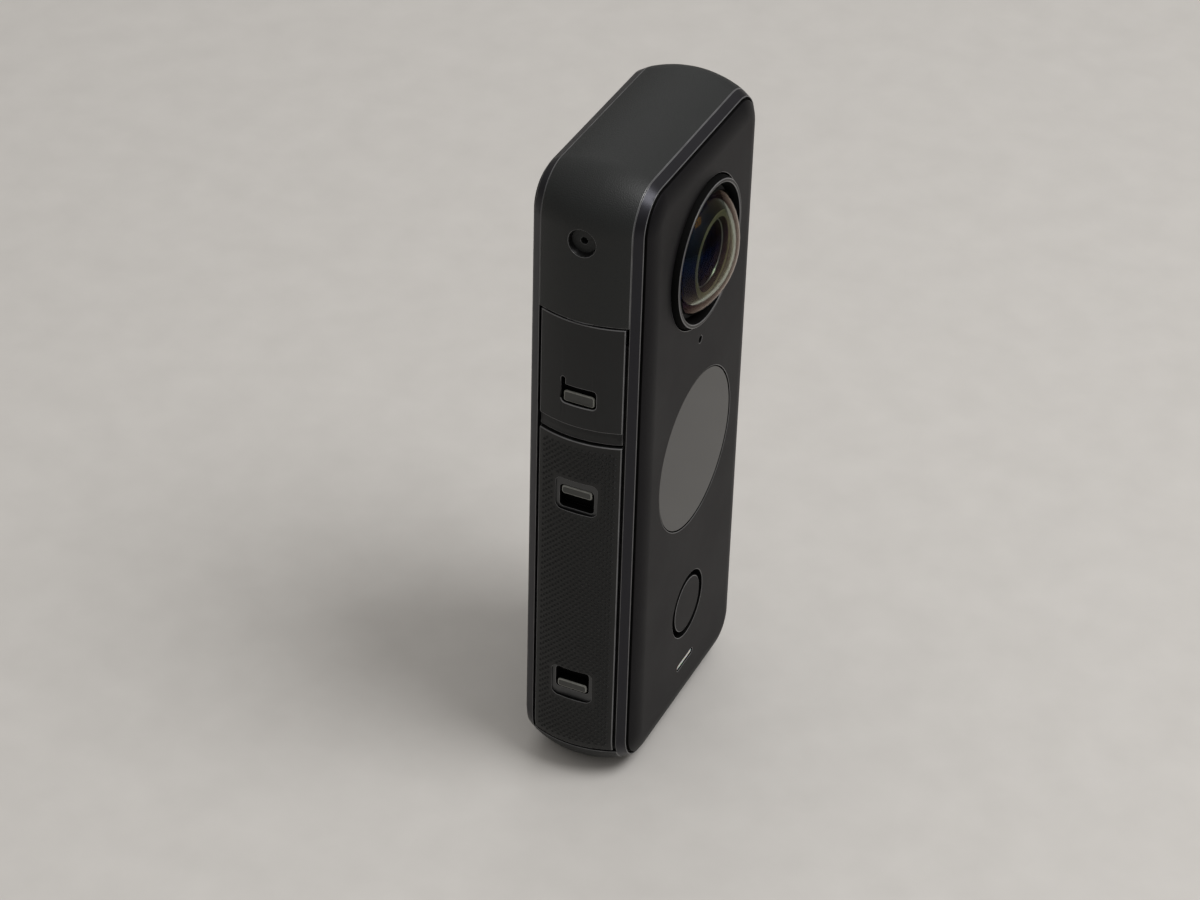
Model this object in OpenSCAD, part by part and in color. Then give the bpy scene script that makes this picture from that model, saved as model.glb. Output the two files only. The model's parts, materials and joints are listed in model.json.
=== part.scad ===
// Pocket 360 degree camera: two back-to-back fisheye lenses in a slim upright body, with a round
// touch screen, a shutter button, a slide-out battery and a hinged port door.
// Frame: +X to the right when facing the screen, -Y out of the screen, +Z up, origin under the foot.

/* [Body] */
// Width of the body across the bulged sides
body_w = 46.2; // [45:0.1:50]
// Height of the body
body_h = 113; // [112:0.5:122]
// Thickness over the two cover plates
body_t = 20.5; // [20.5:0.1:23]
// Corner radius of the side band in the front view
corner_r = 8.6; // [7.5:0.1:9.5]
// Depth of the side band between the rims
band_d = 15; // [15:0.1:16]
// How far the side band bulges at the middle
bulge = 1.6; // [1.3:0.05:1.8]
// Wall of the shell at the edge of the band
shell_wall = 1.8; // [1.6:0.05:2]

/* [Rims and cover plates] */
// Inward run of the bevelled rim
rim_run = 0.9; // [0.6:0.05:1]
// Depth of the bevelled rim
rim_rise = 1.5; // [1.3:0.05:1.6]
// Flat land along the inner edge of the rim
rim_land = 0.15; // [0.1:0.05:0.3]
// Groove between the rim and the cover plate
plate_gap = 0.35; // [0.1:0.05:0.4]
// How deep the cover plate sits inside the rim
plate_seat = 0.8; // [0.6:0.05:0.9]
// Width of the ledge that carries the cover plate
plate_ledge = 2; // [1.8:0.05:2.3]
// Height of the cover plate's edge above the rim
plate_lip = 0.25; // [0.1:0.05:0.4]
// Run of the rolled edge of the cover plate
plate_roll = 3.4; // [2.6:0.1:3.8]

/* [Lenses] */
// Lens axis below the top of the body
lens_drop = 21.5; // [20.5:0.1:22]
// Outer radius of the lens trim ring at the plate
ring_r = 12.3; // [12.1:0.05:12.8]
// Height of the lens trim ring above the plate
ring_rise = 1; // [0.6:0.05:1.3]
// Inward slope of the trim ring's outer wall
ring_slope = 0.4; // [0.2:0.05:0.5]
// Groove between the trim ring and the cover plate
ring_gap = 0.25; // [0.1:0.05:0.4]
// Width of the trim ring's flat top
ring_top_w = 0.55; // [0.4:0.05:0.6]
// Radius of the glass dome
dome_r = 10; // [9.6:0.05:10.2]
// Height of the dome above the plate
dome_rise = 4.65; // [4:0.05:5.2]
// Height of the dome's edge above the plate
dome_edge = 0.35; // [0.2:0.05:0.6]
// Groove between the dome and the trim ring
dome_groove = 0.9; // [0.5:0.05:1]
// Radius of the hollow inside the dome
dome_hollow_r = 9; // [8.4:0.1:9.2]
// Glass thickness at the middle of the dome
dome_t = 1.3; // [1.1:0.05:1.6]

/* [Screen and front controls] */
// Radius of the round screen opening
screen_r = 13.9; // [12.5:0.1:14.5]
// Centre of the screen below the top of the body
screen_drop = 58.7; // [57:0.1:61]
// Radius of the shutter button
shutter_r = 4.95; // [4.2:0.05:5.5]
// Groove around the shutter button
shutter_gap = 1; // [0.4:0.05:1.2]
// Height of the shutter button's centre
shutter_z = 22.9; // [21:0.1:25]
// Travel of the shutter button
shutter_travel = 0.4; // [0.2:0.05:0.5]
// Length of the status light
light_l = 6.2; // [4:0.1:8]
// Width of the status light
light_w = 0.9; // [0.6:0.05:1.2]
// How deep the status light lies in its slot
light_sunk = 0.2; // [0.1:0.05:0.5]
// Height of the status light
light_z = 11; // [9:0.1:13]
// Microphone hole below each lens axis
plate_mic_drop = 16.1; // [15.5:0.1:18.5]
// Radius of each microphone hole
mic_r = 0.6; // [0.4:0.05:0.8]

/* [Side panels] */
// Depth of the doors and the grip on the sides
panel_d = 14; // [13:0.1:14.2]
// Bottom edge of the battery cover and the grip
panel_z0 = 6; // [5.6:0.1:6.6]
// Top edge of the battery cover and the grip below the top of the body
panel_drop = 46; // [44:0.1:46.2]
// Parting gap between side panels
panel_gap = 0.4; // [0.3:0.05:0.5]
// Height of the port door
door_h = 21.35; // [21:0.05:22]
// Height of the finger lip at the foot of the port door
door_lip_h = 2.3; // [1.6:0.1:2.4]
// How far the finger lip is set back
door_lip_d = 0.35; // [0.2:0.05:0.4]
// Depth of the hinge axis behind the middle of the band
hinge_in = 1.5; // [1.4:0.05:1.6]
// Hinge axis below the top edge of the port door
hinge_drop = 1.5; // [1.4:0.05:1.6]
// Radius of the hinge pin
hinge_pin_r = 0.4; // [0.35:0.05:0.45]
// Side microphone below the top of the body
side_mic_drop = 10.1; // [9.6:0.1:11]
// Radius of the dished microphone recess
side_mic_r = 2.35; // [2:0.05:2.6]

/* [Latches] */
// Width of each latch window
window_w = 5.9; // [5:0.1:6.4]
// Height of the battery latch windows
window_h = 4.2; // [4:0.1:4.6]
// Centre of the upper battery window below the cover's top edge
upper_latch_drop = 11.25; // [10:0.05:13]
// Centre of the lower battery window above the cover's bottom edge
lower_latch_up = 13.35; // [12:0.05:15]
// Height of the finger tab on a battery latch
tab_h = 1.5; // [1.2:0.05:1.7]
// Travel of a battery latch
latch_travel = 2.2; // [1.8:0.05:2.2]
// Height of the port door's window
door_window_h = 3.4; // [3.3:0.05:3.8]
// Height of the port door's window centre above the door's foot
door_window_up = 7.9; // [7.5:0.05:8.3]
// Height of the finger tab on the port door
door_tab_h = 2; // [1.6:0.05:2]
// Travel of the port door's latch
door_latch_travel = 1.1; // [0.8:0.05:1.1]

/* [Battery] */
// Thickness of the battery case
battery_t = 9.2; // [8.6:0.1:9.4]
// Depth that the battery case reaches behind its cover
battery_l = 29.8; // [28:0.1:30]
// Battery case above the bottom edge of its cover
battery_foot = 2.2; // [2.1:0.05:2.6]
// Battery case below the top edge of its cover
battery_head = 3.6; // [3.5:0.05:4]
// Wall of the battery case
battery_wall = 0.8; // [0.6:0.05:1]

/* [Power button] */
// Length of the power button
power_l = 11; // [9:0.1:12]
// Width of the power button
power_w = 4.2; // [3.4:0.1:4.8]
// Centre of the power button above the grip's top edge
power_up = 11; // [10:0.1:13]
// Travel of the power button
power_travel = 0.35; // [0.2:0.05:0.4]
// How far the power button stands proud
power_proud = 0; // [-0.2:0.05:0.3]

/* [Foot and tripod thread] */
// Width of the flat foot
foot_w = 27; // [24:0.5:28]
// Depth of the flat foot
foot_d = 12.6; // [12:0.1:13]
// Thickness of the flat foot
foot_t = 1.6; // [1.4:0.1:2]
// Major radius of the quarter-inch tripod thread
thread_r = 3.175; // [3.1:0.005:3.25]
// Depth of the tripod thread
thread_l = 5.2; // [4.8:0.1:5.4]

/* [Hidden] */
$fn = 64;
front = 0;
right = 90;
rear = 180;
left = -90;
fit = 0.05;          // clearance of a close fit
slip = 0.15;         // clearance of a sliding fit
button_gap = 0.2;    // clearance round the power button
cut = 1;             // how far a cutting tool runs past a face
hw = body_w / 2;
band_hd = band_d / 2;
bulge_r = (bulge * bulge + band_hd * band_hd) / (2 * bulge);
path_x = hw - corner_r;
path_z0 = corner_r;
path_z1 = body_h - corner_r;
rim_top = band_hd + rim_rise;
plate_top = body_t / 2;
seat_d = rim_top - plate_seat;
rim_in = bulge + rim_run + rim_land;
plate_in = rim_in + plate_gap;
cavity_in = bulge + shell_wall;
cavity_x = hw - cavity_in;
cavity_top = body_h - cavity_in;

lens_z = body_h - lens_drop;
screen_z = body_h - screen_drop;
plate_mic_z = lens_z - plate_mic_drop;
side_mic_z = body_h - side_mic_drop;
panel_z1 = body_h - panel_drop;
upper_latch_z = panel_z1 - upper_latch_drop;
lower_latch_z = panel_z0 + lower_latch_up;
power_z = panel_z1 + power_up;
speaker_up = 12;                   // speaker above the power button
speaker_z = power_z + speaker_up;

ring_sink = 0.35;                  // trim ring's foot below the plate's seat
ring_lap = 0.6;                    // trim ring's foot behind the plate
ring_foot_d = seat_d - ring_sink;
ring_bore = dome_r + dome_groove;
seat_r = ring_bore - slip;         // flange and gasket that carry the dome
dome_apex = plate_top + dome_rise;
dome_edge_d = plate_top + dome_edge;
dome_cap_h = dome_apex - dome_edge_d;
dome_out_r = (dome_r * dome_r + dome_cap_h * dome_cap_h) / (2 * dome_cap_h);
dome_skirt = 1.1;                  // straight edge of the dome
dome_foot_d = dome_edge_d - dome_skirt;
gasket_t = 0.3;
gasket_w = 1.6;
flange_d = dome_foot_d - gasket_t;
barrel_r = 9;
barrel_end_d = 2.9;
barrel_bore = 5.25;
barrel_floor_t = 0.7;
barrel_floor_d = barrel_end_d + barrel_floor_t;
barrel_cone_d = 7.6;
barrel_step = 1.25;
crown_r = 9;                       // inner lens
crown_rise = 1.6;
carrier_r = 11.6;
arm_hw = 6;
arm_hd = 3;
arm_up = 4;
arm_h = 4;
sensor_t = 0.9;
sensor_w = 9;
sensor_board_t = 0.8;
spreader_t = 1.8;
spreader_w = 16;

panel_hd = panel_d / 2;
panel_t = 2.2;                     // side panels at the middle of the band
panel_in_x = hw - panel_t;
flange_in = 2.7;                   // tray's mouth flange behind the middle of the band
flange_x = hw - flange_in;
flange_t = 1;
door_t = 2;
door_in_x = hw - door_t;
door_z0 = panel_z1 + panel_gap;
door_z1 = door_z0 + door_h;
mouth_z0 = panel_z0 - panel_gap;
mouth_gap = 0.3;
mouth_z1 = door_z1 + mouth_gap;
hinge_x = hw - hinge_in;
hinge_z = door_z1 - hinge_drop;
door_swing_r = norm([hinge_in, hinge_drop]);
lug_r = 0.8;
lug_hw = 1.4;
lug_gap = 0.35;
lug_pocket_hw = lug_hw + lug_gap;
pin_hl = 4;
pin_fit = 0.02;
usb_up = 11.1;
usb_z = door_z0 + usb_up;
usb_l = 8.94;
usb_w = 3.26;
pocket_in = 3;                     // port pocket behind the mouth flange
pocket_x = flange_x - pocket_in;
pocket_hd = 4.3;
pocket_below = 6.1;
pocket_above = 5.3;
pocket_z0 = usb_z - pocket_below;
pocket_z1 = usb_z + pocket_above;

latch_t = 1;
latch_hw = 3.5;
bolt_hw = 1.5;
bolt_reach = 0.6;
tab_proud = 0.15;
window_sag = 0.35;                 // fall of the bulge at a window's edge
case_hd = battery_t / 2;
case_z0 = panel_z0 + battery_foot;
case_z1 = panel_z1 - battery_head;
case_end_x = -panel_in_x + battery_l;
bay_hd = case_hd + slip;
bay_gap = bolt_reach + 2 * slip;   // room for the latch bolts at the ends of the bay
bay_z0 = case_z0 - bay_gap;
bay_z1 = case_z1 + bay_gap;
bay_wall = 0.75;
bay_end_gap = 0.4;
bay_end_x = case_end_x + bay_end_gap;
bay_end_t = 1;
tray_hd = bay_hd + bay_wall;
tray_end_x = bay_end_x + bay_end_t;
shelf_up = 2.6;
shelf_z = bay_z1 + bay_wall + shelf_up;
shelf_t = 1.2;
cell_in = 3.4;
cell_x0 = -panel_in_x + cell_in;
seal_w = 0.9;
seal_lift = 0.03;                  // seals above the mouth flange
seal_side = 0.65;                  // battery seal beyond the bay's long edges
seal_end = 0.2;                    // battery seal beyond the bay's ends

// Placing and shaping helpers

// Turns a face-on drawing (x across, y up, z outwards) to one of the four sides
module faced(turn) {
    rotate([90, 0, turn]) children();
}

// A box from its lowest to its highest corner
module span(low, high) {
    translate(low) cube(high - low);
}

// Sweeps a profile round the body's outline, face-on: profile x from the corner centres, y is depth
module swept() {
    for (c = [[1, path_z1, 0], [-1, path_z1, 90], [-1, path_z0, 180], [1, path_z0, 270]])
        translate([c[0] * path_x, c[1], 0]) rotate([0, 0, c[2]]) rotate_extrude(angle = 90) children();
    for (turn = [0, 180]) translate([0, body_h / 2, 0]) rotate([0, 0, turn]) {
        translate([path_x, path_z1 - body_h / 2, 0])
            rotate([90, 0, 0]) linear_extrude(path_z1 - path_z0) children();
        translate([-path_x, path_z1 - body_h / 2, 0])
            rotate([90, 0, 90]) linear_extrude(2 * path_x) children();
    }
}

// A flat slab inside the body's outline, face-on, at a given inset and from depth d0 to d1
module outline_slab(inset, d0, d1) {
    swept() translate([0, d0]) square([corner_r - inset, d1 - d0]);
    span([-path_x, path_z0, d0], [path_x, path_z1, d1]);
}

// A block with rounded corners in the x-y plane, centred, from z = 0 to t
module rounded_block(w, h, r, t) {
    for (c = [[1, 1, 0], [-1, 1, 90], [-1, -1, 180], [1, -1, 270]])
        translate([c[0] * (w / 2 - r), c[1] * (h / 2 - r), 0])
            rotate([0, 0, c[2]]) rotate_extrude(angle = 90) square([r, t]);
    translate([-w / 2 + r, -h / 2, 0]) cube([w - 2 * r, h, t]);
    for (s = [-1, 1]) translate([s * (w / 2 - r / 2) - r / 2, -h / 2 + r, 0]) cube([r, h - 2 * r, t]);
}

// A block with half-round ends, long way up, centred, from z = 0 to t
module obround(w, l, t) {
    for (turn = [0, 180]) rotate([0, 0, turn]) translate([0, l / 2 - w / 2, 0])
        rotate_extrude(angle = 180) square([w / 2, t]);
    translate([-w / 2, -l / 2 + w / 2, 0]) cube([w, l - w, t]);
}

// A rounded rectangular ring, centred, from z = 0 to t
module rounded_ring(w, h, r, ring_w, t) {
    difference() {
        rounded_block(w, h, r, t);
        translate([0, 0, -cut]) rounded_block(w - 2 * ring_w, h - 2 * ring_w, r - ring_w, t + 2 * cut);
    }
}

// Profile of the bulged side band
module band_profile() {
    intersection() {
        translate([corner_r - bulge_r, 0]) circle(r = bulge_r, $fn = 128);
        translate([0, -band_hd]) square([corner_r + cut, band_d]);
    }
}

// The whole bulged band as one solid
module band_solid() {
    swept() band_profile();
    span([-path_x, path_z0, -band_hd], [path_x, path_z1, band_hd]);
}

// The part of the bulged band that lies on one side between two heights, outside an inner plane
module side_panel(turn, z0, z1, inner_x) {
    intersection() {
        faced(front) band_solid();
        faced(turn) span([-panel_hd, z0, inner_x], [panel_hd, z1, hw + cut]);
    }
}

// The barrel-shaped room in which the head of the port door swings, about the hinge axis
module door_swing_room() {
    end_r = hinge_drop + 0.2;
    mid_r = door_swing_r + 0.2;
    sag = mid_r - end_r;
    room_r = (sag * sag + panel_hd * panel_hd) / (2 * sag);
    translate([-hinge_x, 0, hinge_z]) rotate([90, 0, 0]) rotate_extrude() intersection() {
        translate([mid_r - room_r, 0]) circle(r = room_r, $fn = 128);
        translate([0, -band_hd - cut]) square([mid_r + cut, 2 * (band_hd + cut)]);
    }
}

// Covers

module main_shell() {
    color("#3b3d3c") difference() {
        faced(front) band_solid();
        faced(front) outline_slab(cavity_in, -band_hd - cut, band_hd + cut);
        // open left side for the battery cover and the port door
        faced(left) span([-band_hd - cut, mouth_z0, cavity_x - cut], [band_hd + cut, mouth_z1, hw + cut]);
        door_swing_room();
        // recess for the grip on the right
        faced(right) span([-band_hd - cut, panel_z0 - fit, panel_in_x - fit],
            [band_hd + cut, panel_z1 + fit, hw + cut]);
        for (turn = [left, right]) faced(turn) translate([0, side_mic_z, 0]) {
            translate([0, 0, hw - dish_d])
                cylinder(h = 2 * dish_d, r1 = side_mic_r - dish_flare, r2 = side_mic_r + dish_flare);
            cylinder(h = hw, r = mic_r);
        }
        faced(right) {
            translate([0, power_z, 0]) obround(power_w + 2 * button_gap, power_l + 2 * button_gap, hw + cut);
            for (k = [-1:1]) translate([k * sound_slot_pitch, speaker_z, 0])
                obround(sound_slot_w, sound_slot_l, hw + cut);
        }
        // seat of the foot and bore for the tripod insert
        translate([0, 0, -cut])
            rounded_block(foot_w + 2 * fit, foot_d + 2 * fit, foot_corner_r + fit, foot_t + cut);
        cylinder(h = cavity_in + cut, r = insert_r + fit);
    }
}
dish_d = 1;
dish_flare = 0.35;
sound_slot_w = 0.9;
sound_slot_l = 5;
sound_slot_pitch = 1.8;
foot_corner_r = 3;
insert_r = 4.6;
insert_cap = 0.6;
insert_flange_w = 1.2;
insert_flange_t = 0.8;

module bezel(turn) {
    color("#2b2a2c") faced(turn) swept() polygon([
        [corner_r - plate_in - plate_ledge, band_hd],
        [corner_r - bulge, band_hd],
        [corner_r - bulge - rim_run, rim_top],
        [corner_r - rim_in, rim_top],
        [corner_r - rim_in, seat_d],
        [corner_r - plate_in - plate_ledge, seat_d],
    ]);
}

// A cover plate with its rolled edge, before its openings
module plate_blank() {
    edge_x = corner_r - plate_in;
    roll_x = edge_x - plate_roll;
    drop = plate_top - rim_top - plate_lip;
    roll_r = (plate_roll * plate_roll + drop * drop) / (2 * drop);
    swept() intersection() {
        translate([roll_x, plate_top - roll_r]) circle(r = roll_r, $fn = 128);
        translate([roll_x, seat_d]) square([plate_roll, plate_top]);
    }
    swept() translate([0, seat_d]) square([roll_x, plate_top - seat_d]);
    span([-path_x, path_z0, seat_d], [path_x, path_z1, plate_top]);
}

module plate_openings() {
    translate([0, lens_z, 0]) cylinder(h = plate_top + cut, r = ring_r + ring_gap);
    translate([0, plate_mic_z, 0]) cylinder(h = plate_top + cut, r = mic_r);
}

module front_plate() {
    color("#262528") faced(front) difference() {
        plate_blank();
        plate_openings();
        translate([0, screen_z, screen_seat_d]) cylinder(h = plate_top, r = screen_r);
        translate([0, screen_z, 0]) cylinder(h = plate_top, r = screen_r - screen_lip);
        translate([0, shutter_z, 0]) cylinder(h = plate_top + cut, r = shutter_r + shutter_gap);
        translate([0, light_z, 0]) rotate([0, 0, 90])
            obround(light_w + 2 * fit, light_l + 2 * fit, plate_top + cut);
    }
}
screen_lip = 0.8;
screen_sunk = 0.1;
screen_t = 0.95;
screen_seat_d = plate_top - screen_sunk - screen_t;

module rear_plate() {
    color("#262528") faced(rear) difference() {
        plate_blank();
        plate_openings();
    }
}

module right_grip() {
    color("#333434") side_panel(right, panel_z0, panel_z1, panel_in_x);
}

module foot_plate() {
    color("#2b2b2c") difference() {
        rounded_block(foot_w, foot_d, foot_corner_r, foot_t);
        translate([0, 0, -cut]) cylinder(h = foot_t + 2 * cut, r = insert_r + fit);
    }
}

module tripod_insert() {
    color("#b9b9b4") difference() {
        union() {
            cylinder(h = thread_l + insert_cap, r = insert_r);
            translate([0, 0, cavity_in]) cylinder(h = insert_flange_t, r = insert_r + insert_flange_w);
        }
        translate([0, 0, -cut]) cylinder(h = thread_l + cut, r = thread_r);
    }
}

// Lens modules, one on each face

module lens_ring(turn) {
    color("#1d1c1e") faced(turn) translate([0, lens_z, 0]) rotate_extrude() polygon([
        [ring_bore, ring_foot_d],
        [ring_r + ring_gap + ring_lap, ring_foot_d],
        [ring_r + ring_gap + ring_lap, seat_d - fit],
        [ring_r, seat_d - fit],
        [ring_r, plate_top],
        [ring_r - ring_slope, plate_top + ring_rise],
        [ring_r - ring_slope - ring_top_w, plate_top + ring_rise],
        [ring_bore, plate_top],
    ]);
}

module lens_dome(turn) {
    color("#20242a", 0.5) faced(turn) translate([0, lens_z, 0]) difference() {
        intersection() {
            translate([0, 0, dome_apex - dome_out_r]) sphere(r = dome_out_r, $fn = 128);
            translate([0, 0, dome_foot_d]) cylinder(h = dome_apex, r = dome_r);
        }
        translate([0, 0, dome_apex - dome_t - dome_hollow_r]) sphere(r = dome_hollow_r, $fn = 128);
    }
}

module lens_gasket(turn) {
    color("#111111") faced(turn) translate([0, lens_z, flange_d]) difference() {
        cylinder(h = gasket_t, r = seat_r);
        translate([0, 0, -cut]) cylinder(h = gasket_t + 2 * cut, r = dome_r - gasket_w);
    }
}

module lens_barrel(turn) {
    color("#141414") faced(turn) translate([0, lens_z, 0]) rotate_extrude() polygon([
        [barrel_bore - barrel_step, barrel_end_d],
        [barrel_r, barrel_end_d],
        [barrel_r, ring_foot_d],
        [seat_r, ring_foot_d],
        [seat_r, flange_d],
        [barrel_bore + barrel_step, flange_d],
        [barrel_bore, barrel_cone_d],
        [barrel_bore, barrel_floor_d],
        [barrel_bore - barrel_step, barrel_floor_d],
    ]);
}

module inner_lens(turn) {
    lens_r = barrel_bore - fit;
    crown_d = barrel_cone_d + crown_rise;
    color("#1c1a18", 0.6) faced(turn) translate([0, lens_z, 0]) intersection() {
        translate([0, 0, barrel_floor_d]) cylinder(h = crown_d, r = lens_r);
        translate([0, 0, crown_d - crown_r]) sphere(r = crown_r, $fn = 96);
    }
}

module image_sensor(turn) {
    sensor_d = spreader_t / 2 + sensor_board_t;
    half = sensor_w / 2;
    color("#3a4452") faced(turn) translate([0, lens_z, sensor_d])
        span([-half, -half, 0], [half, half, sensor_t]);
}

module sensor_board(turn) {
    color("#1f3d2b") faced(turn) translate([0, lens_z, spreader_t / 2])
        cylinder(h = sensor_board_t, r = barrel_r);
}

// Aluminium plate between the two sensor boards, with a tail down to the tray's shelf
module heat_spreader() {
    color("#b4b6b8") faced(front) {
        translate([0, lens_z, -spreader_t / 2]) cylinder(h = spreader_t, r = barrel_r - fit);
        span([-spreader_w / 2, shelf_z + shelf_t, -spreader_t / 2], [spreader_w / 2, lens_z, spreader_t / 2]);
    }
}

// Round housing that holds both barrels, with arms to the roof and the right wall of the shell
module lens_carrier() {
    color("#2d2f31") faced(front) difference() {
        union() {
            translate([0, lens_z, -ring_foot_d]) cylinder(h = 2 * ring_foot_d, r = carrier_r);
            span([-arm_hw, lens_z, -arm_hd], [arm_hw, cavity_top, arm_hd]);
            span([0, lens_z + arm_up, -arm_hd], [cavity_x, lens_z + arm_up + arm_h, arm_hd]);
        }
        translate([0, lens_z, -body_t]) cylinder(h = 2 * body_t, r = barrel_r + fit);
        // slot for the tail of the heat spreader
        span([-spreader_w / 2 - fit, 0, -spreader_t / 2 - fit],
            [spreader_w / 2 + fit, lens_z, spreader_t / 2 + fit]);
    }
}

// Screen and front controls

module screen_glass() {
    color("#5a5a58") faced(front) translate([0, screen_z, screen_seat_d])
        cylinder(h = screen_t, r = screen_r - slip);
}

module display_panel() {
    color("#1a1a1c") faced(front) translate([0, screen_z, screen_seat_d - display_t])
        cylinder(h = display_t, r = screen_r - screen_lip - slip);
}
display_t = 1.8;

module shutter_button() {
    color("#29282b") faced(front) translate([0, shutter_z, 0]) {
        translate([0, 0, shutter_flange_d])
            cylinder(h = plate_top - shutter_flange_d - fit, r = shutter_r);
        translate([0, 0, shutter_flange_d])
            cylinder(h = shutter_flange_t, r = shutter_r + shutter_gap + shutter_lap);
    }
}
shutter_flange_t = 0.7;
shutter_lap = 0.8;
shutter_flange_d = seat_d - shutter_flange_t - 2 * fit;

module shutter_switch() {
    color("#8d8f90") faced(front) translate([0, shutter_z, tray_hd]) {
        translate([-key_w / 2, -key_w / 2, 0]) cube([key_w, key_w, key_t]);
        cylinder(h = shutter_flange_d - tray_hd - shutter_travel - fit, r = key_stem_r);
    }
}
key_w = 5.2;
key_t = 0.9;
key_stem_r = 1.5;

module status_light() {
    color("#d8d6cf") faced(front) translate([0, light_z, 0]) {
        translate([0, 0, seat_d - light_flange_t]) rotate([0, 0, 90])
            obround(light_w + 2 * light_flange_w, light_l + 2 * light_flange_w, light_flange_t);
        translate([0, 0, seat_d]) rotate([0, 0, 90])
            obround(light_w, light_l, plate_top - light_sunk - seat_d);
    }
}
light_flange_w = 1;
light_flange_t = 0.6;

module plate_microphone(turn) {
    color("#9b9c98") faced(turn) translate([0, plate_mic_z, seat_d - mic_t])
        cylinder(h = mic_t, r = mic_can_r);
}
mic_t = 1.2;
mic_can_r = 1.8;

module side_microphone(turn) {
    color("#9b9c98") faced(turn) translate([0, side_mic_z, cavity_x - mic_t])
        cylinder(h = mic_t, r = mic_can_r);
}

// Inner frame and electronics

// Frame behind the side doors: mouth flange, battery bay with guide rails, port pocket, shelf and post
module battery_tray() {
    color("#242526") {
        difference() {
            tray_blank();
            // battery bay
            span([-hw, -bay_hd, bay_z0], [bay_end_x, bay_hd, bay_z1]);
            // port pocket and the socket's opening
            span([-hw, -pocket_hd, pocket_z0], [-pocket_x, pocket_hd, pocket_z1]);
            faced(left) translate([0, usb_z, 0]) obround(usb_w + 2 * fit, usb_l + 2 * fit, hw);
            // mouth of the card slot
            span([-hw, card_y - card_w / 2, card_z + card_floor],
                [-flange_x + flange_t + fit, card_y + card_w / 2, card_z + card_floor + card_slot]);
            // holes for the battery's spring contacts
            for (k = contact_at) translate([bay_end_x - cut, 0, k]) rotate([0, 90, 0])
                cylinder(h = 2 * cut + bay_end_t, r = contact_r + fit);
            translate([-hinge_x, 0, hinge_z]) rotate([90, 0, 0])
                cylinder(h = 4 * lug_hw, r = hinge_pin_r + pin_fit, center = true);
            for (p = board_screw_at) faced(rear) translate([-p[0], p[1], 0])
                cylinder(h = body_t, r = screw_r + fit);
        }
        // rails that guide the ends of the battery case, well behind the latch bolts
        for (z = [[bay_z0 - fit, case_z0 - rail_gap], [case_z1 + rail_gap, bay_z1 + fit]])
            span([-flange_x + rail_in, -rail_hw, z[0]], [bay_end_x + fit, rail_hw, z[1]]);
    }
}
rail_in = 6;
rail_hw = 3;
rail_gap = 0.2;
post_in = 5.1;                     // switch post behind the shell's inner wall
post_x = cavity_x - post_in;
post_t = 1.2;
post_up = 5;
card_w = 11.2;
card_l = 14;
card_t = 1.5;
card_floor = 0.3;
card_slot = 0.9;
card_wall = 0.6;
card_back = 1;
card_y = tray_hd - card_w / 2 - card_wall - 2 * fit;
card_z = bay_z1 + seal_end + seal_w + fit - card_floor;
contact_r = 0.5;
contact_pitch = 2.6;
bay_mid_z = (bay_z0 + bay_z1) / 2;
contact_at = [for (k = [-1.5:1:1.5]) bay_mid_z + k * contact_pitch];
screw_r = 0.6;
screw_head_r = 1.1;
screw_head_t = 0.6;
screw_l = 3.6;
screw_in = 1.2;                    // half of a screw boss
foot_screw_z = plate_in + plate_ledge + screw_head_r + 2 * slip;
foot_screw_x = [-12, 9];
head_screw_x = [1.5, 8];
board_screw_at = concat([for (x = foot_screw_x) [x, foot_screw_z]],
                        [for (x = head_screw_x) [x, bay_z1 + bay_wall + screw_in]]);

// The tray before its openings are cut
module tray_blank() {
    faced(left) span([-band_hd + fit, mouth_z0 + slip, flange_x - flange_t],
        [band_hd - fit, flange_z1, flange_x]);
    span([-flange_x, -tray_hd, bay_z0 - bay_wall], [tray_end_x, tray_hd, bay_z1 + bay_wall]);
    span([-flange_x, -pocket_hd - bay_wall, pocket_z0 - bay_wall],
        [-pocket_x + bay_end_t, pocket_hd + bay_wall, pocket_z1 + bay_wall]);
    span([-flange_x, -pocket_hd, shelf_z], [post_x + post_t, pocket_hd, shelf_z + shelf_t]);
    span([post_x, -pocket_hd, shelf_z], [post_x + post_t, pocket_hd, power_z + post_up]);
    hinge_lug();
    for (p = board_screw_at) boss(p);
}
flange_lap = 1.4;
flange_z1 = pocket_z1 + flange_lap;

// Arm from the mouth flange out to the pivot of the port door
module hinge_lug() {
    span([-flange_x, -lug_hw, flange_z1 - cut], [-flange_x + flange_t, lug_hw, hinge_z + arm_half]);
    span([-hinge_x, -lug_hw, hinge_z - arm_half], [-flange_x + flange_t, lug_hw, hinge_z + arm_half]);
    translate([-hinge_x, 0, hinge_z]) rotate([90, 0, 0]) cylinder(h = 2 * lug_hw, r = lug_r, center = true);
}
arm_half = 0.6;

// Screw boss on the rear of the tray, above or below the battery bay
module boss(p) {
    faced(rear) span([-p[0] - boss_hw, p[1] - screw_in, tray_hd - boss_t],
        [-p[0] + boss_hw, p[1] + screw_in, tray_hd]);
}
boss_hw = 1.6;
boss_t = 3.5;

module main_board() {
    z0 = cavity_in + board_gap;
    z1 = shelf_z - board_head;
    top = tray_hd + board_t;
    color("#1f3d2b") faced(rear) {
        difference() {
            span([-cavity_x + board_right_in, z0, tray_hd], [flange_x - flange_t - board_left_in, z1, top]);
            for (p = board_screw_at) translate([-p[0], p[1], 0]) cylinder(h = body_t, r = screw_r + fit);
        }
        color("#a9abac") span([shield_x, z1 - shield_drop - shield_l, top],
            [shield_x + shield_w, z1 - shield_drop, seat_d - shield_gap]);
        color("#19191a") span([chip_x, z0 + chip_up, top],
            [chip_x + chip_w, z0 + chip_up + chip_w, seat_d - 2 * shield_gap]);
    }
}
board_t = 0.9;
board_gap = 1;
board_head = 0.2;
board_right_in = 4.2;
board_left_in = 2.9;
shield_x = -8;
shield_w = 18;
shield_l = 22;
shield_drop = 11;
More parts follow.
